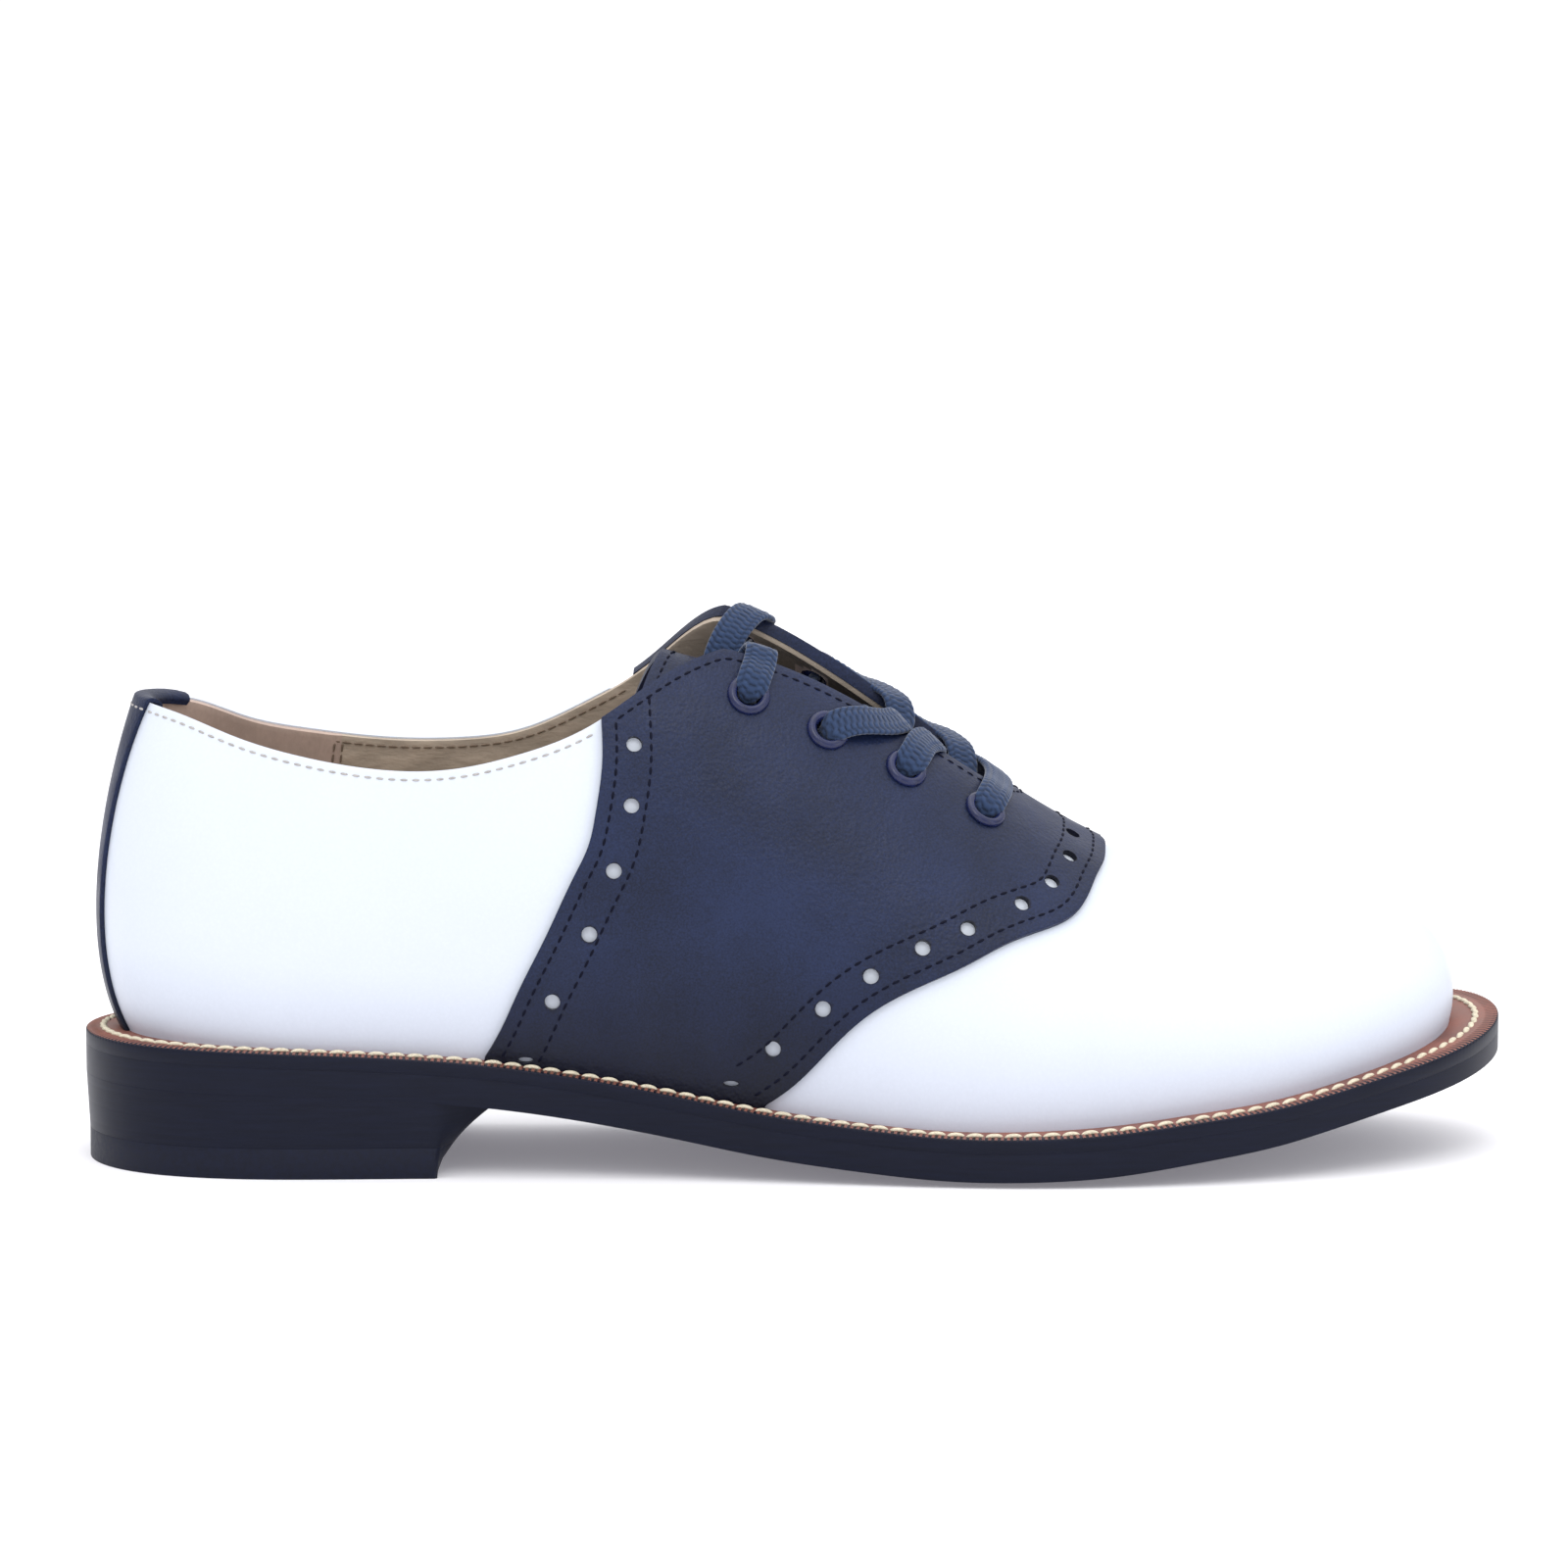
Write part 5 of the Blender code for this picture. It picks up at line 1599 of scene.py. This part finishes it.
def ribbon(name, stops, start):
    """Flat braid along a run; it gathers where it enters an eyelet.

    Gives its rings of points, the height of the weave there and the lace's length so far.
    """
    marks = np.array(stops, float)
    knots = wrapped(*marks.T)
    lifts = unit(wrapped(marks[:, 0], marks[:, 1], marks[:, 2] + MM) - knots)
    if name in ("cross_a", "cross_d"):  # these lean to the outer side where they leave the throat
        lean = (marks[:, 2] > -2 * MM) & (np.abs(marks[:, 1]) < 0.07)
        lifts = unit(lifts + lean[:, None] * (0.0, -0.65, 0.0))
    reach = reach_along(knots) + 1e-5 * np.arange(len(knots))
    fine = np.linspace(0, reach[-1], 600)
    path, lift = (np.stack([curve_through(reach, line)(fine) for line in rows.T], -1)
                  for rows in (knots, lifts))
    run = reach_along(path)
    ring_step, bend_back = 0.21 * MM, 0.15
    steps = int(run[-1] / ring_step)
    even = np.linspace(0, run[-1], steps + 1)
    path, lift = read_at(even, run, path), unit(read_at(even, run, unit(lift)))
    ahead = unit(np.gradient(path, axis=0))
    across = np.cross(ahead, lift)
    middle = int(np.argmax((across ** 2).sum(1) * (1 - np.abs(np.linspace(-1, 1, steps + 1)))))
    for order in (range(middle + 1, steps + 1), range(middle - 1, -1, -1)):
        carried = unit(across[middle])
        for i in order:
            carried = carried - ahead[i] * carried.dot(ahead[i])
            weight = (across[i] ** 2).sum()
            carried = unit(across[i] * bend_back * weight + unit(carried))
            carried = unit(carried - ahead[i] * carried.dot(ahead[i]))
            across[i] = carried
    across[middle] = unit(across[middle])
    up = np.cross(across, ahead)
    size = sizes()
    gather, gathered_width, gathered_thickness = 3.6 * MM, 3.4 * MM, 2.2 * MM
    far = 1.0 if name.startswith("tuck") else ease((even[-1] - even) / gather)
    full = np.minimum(ease(even / gather), far)[:, None]
    half = (gathered_width + (size.lace_width - gathered_width) * full) / 2
    thick = (gathered_thickness + (size.lace_thickness - gathered_thickness) * full) / 2
    turn = np.linspace(0, TURN, LACE_SIDES, endpoint=False)
    wide = np.sign(np.cos(turn)) * np.abs(np.cos(turn)) ** 0.75
    high = np.sign(np.sin(turn)) * np.abs(np.sin(turn)) ** 0.55
    face_way = wide * half
    strand, rib = 1.5 * MM, 1.25 * MM
    zig = np.abs((face_way / strand) % 2.0 - 1.0)
    weave = np.abs(np.sin(math.pi * ((start + even)[:, None] / rib + zig * 0.9)))
    column_dip = np.abs(np.cos(math.pi * face_way / strand))
    relief = weave ** 0.7 * (0.45 + 0.55 * column_dip ** 0.5)
    rise_out = (relief - 0.6) * 0.36 * MM
    points = (path[:, None, :] + across[:, None, :] * face_way[..., None]
              + up[:, None, :] * (high * (thick + rise_out))[..., None])
    return points, relief, start + even[-1]


class SHOE_OT_laces(bpy.types.Operator):
    """Make the flat woven lace"""
    bl_idname = "saddle_shoe.laces"
    bl_label = "Lace"

    def execute(self, context):
        parts, start = [], 0.0
        for name, stops in lace_runs().items():
            points, relief, start = ribbon(name, stops, start)
            last = len(points) - 1

            def ring_point(across, up):
                return (np.round(across * last).astype(int),
                        np.round(up * LACE_SIDES).astype(int) % LACE_SIDES)
            part = spread_grid(name, last, LACE_SIDES,
                               lambda across, up: points[ring_point(across, up)])
            mesh = part.data
            # the weave's height is kept for the painted shade between the strands
            mark(mesh, "weave", relief[ring_point(marks_of(mesh, "across"), marks_of(mesh, "up"))])
            parts.append(part)
        piece = merge(join(parts), 0.0001 * MM)
        piece.name = piece.data.name = "lace"
        close_caps(piece)
        cotton = look("woven_cotton", braided, colours().cotton)
        finish(piece, [cotton], "navy_cotton", ["laces"], 70)
        return {"FINISHED"}


# ---- stage

class SHOE_OT_stage(bpy.types.Operator):
    """Make the floor, the lights and the camera"""
    bl_idname = "saddle_shoe.stage"
    bl_label = "Stage"

    def execute(self, context):
        scene = context.scene
        deselect()
        bpy.ops.mesh.primitive_grid_add(x_subdivisions=8, y_subdivisions=8, size=14)
        floor = context.object
        floor.name = floor.data.name = "studio_floor"
        work = Nodes("studio_floor")
        tone = colours().floor
        cloud = work.noise(work.here(), 6.0, 2.0)
        work.surface(work.blend(cloud, shade(tone, 0.995), tone), None, (), Roughness=0.9,
                     Specular_IOR_Level=0.1, Emission_Color=(0.93, 0.90, 1.0, 1.0),
                     Emission_Strength=0.20)
        floor.data.materials.append(work.material)
        floor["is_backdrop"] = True

        world = bpy.data.worlds.new("studio")
        scene.world = world
        world.use_nodes = True
        tree = world.node_tree
        place = tree.nodes.new("ShaderNodeTexCoord")
        split = tree.nodes.new("ShaderNodeSeparateXYZ")
        ramp = tree.nodes.new("ShaderNodeValToRGB")
        tree.links.new(place.outputs["Generated"], split.inputs[0])
        tree.links.new(split.outputs["Z"], ramp.inputs["Fac"])
        for element, value in zip(ramp.color_ramp.elements, (1.1, 1.9)):
            element.color = (value, value, value, 1)
        for position, value in ((0.06, 1.1), (0.13, 0.75), (0.35, 0.95), (0.55, 1.40)):
            ramp.color_ramp.elements.new(position).color = (value, value, value * 1.02, 1)
        back = tree.nodes["Background"]
        tree.links.new(ramp.outputs["Color"], back.inputs["Color"])
        back.inputs["Strength"].default_value = 1.0

        for name, spot, aim, size, power, tone in (
                ("key", (0.10, -0.80, 1.00), (0.0, 0.0, 0.05), 0.45, 2.2, (1.0, 1.0, 1.0)),
                ("side", (1.1, -0.7, 0.35), (0.10, 0.0, 0.0), 0.5, 1.2, (0.97, 0.98, 1.0)),
                ("front", (0.0, -1.5, 0.22), (0.0, 0.0, 0.02), 0.4, 0.8, (0.97, 0.97, 1.0)),
                ("top", (0.1, -0.1, 1.5), (0.0, 0.0, 0.05), 0.8, 1.9, (1.0, 1.0, 1.0))):
            data = bpy.data.lights.new(name, "AREA")
            data.shape, data.size, data.energy, data.color = "SQUARE", size, power, tone
            light = bpy.data.objects.new(name, data)
            light.location = spot
            light.rotation_euler = (Vector(aim) - Vector(spot)).to_track_quat("-Z", "Y").to_euler()
            scene.collection.objects.link(light)

        aim = Vector((137 * MM, 0.0, 72.2 * MM)) - Vector(ORIGIN)
        turn, distance, height = math.radians(-2.2), 1130 * MM, 198 * MM
        spot = Vector((aim.x + distance * math.sin(turn), aim.y - distance * math.cos(turn),
                       height))
        data = bpy.data.cameras.new("camera")
        data.lens, data.sensor_width = 133.0, 36.0
        camera = bpy.data.objects.new("camera", data)
        camera.location = spot
        camera.rotation_euler = (aim - spot).to_track_quat("-Z", "Y").to_euler()
        scene.collection.objects.link(camera)
        scene.camera = camera
        scene.view_settings.view_transform = "Standard"
        return {"FINISHED"}


# ---- the add-on

OPERATORS = (SHOE_OT_upper, SHOE_OT_lining, SHOE_OT_saddle, SHOE_OT_heel_strip, SHOE_OT_tongue,
             SHOE_OT_stitching, SHOE_OT_welt, SHOE_OT_sole, SHOE_OT_heel, SHOE_OT_insole,
             SHOE_OT_eyelets, SHOE_OT_laces, SHOE_OT_stage)


class SHOE_PT_panel(bpy.types.Panel):
    """Sizes, colours and pieces of the shoe"""
    bl_label = "Saddle shoe"
    bl_idname = "SHOE_PT_panel"
    bl_space_type = "VIEW_3D"
    bl_region_type = "UI"
    bl_category = "Shoe"

    def draw(self, context):
        for group in (context.scene.shoe_sizes, context.scene.shoe_colours):
            box = self.layout.box()
            for name in group.bl_rna.properties.keys():
                if name not in ("rna_type", "name"):
                    box.prop(group, name)
        for kind in OPERATORS:
            self.layout.operator(kind.bl_idname)


CLASSES = (ShoeSizes, ShoeColours, *OPERATORS, SHOE_PT_panel)


def register():
    """Adds the classes and the scene's settings."""
    for kind in CLASSES:
        bpy.utils.register_class(kind)
    bpy.types.Scene.shoe_sizes = bpy.props.PointerProperty(type=ShoeSizes)
    bpy.types.Scene.shoe_colours = bpy.props.PointerProperty(type=ShoeColours)


def unregister():
    """Removes them."""
    del bpy.types.Scene.shoe_colours
    del bpy.types.Scene.shoe_sizes
    for kind in reversed(CLASSES):
        bpy.utils.unregister_class(kind)


def corners(bounds):
    """A box's two corners as plain lists."""
    return [list(corner) for corner in bounds]


def main():
    """Makes every piece and measures the model's size before and after, without keeping it."""
    cad = corners(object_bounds())
    register()
    for kind in OPERATORS:
        group, name = kind.bl_idname.split(".")
        getattr(getattr(bpy.ops, group), name)()
    {"cad": cad, "visual": corners(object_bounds())}


if __name__ == "__main__":
    main()
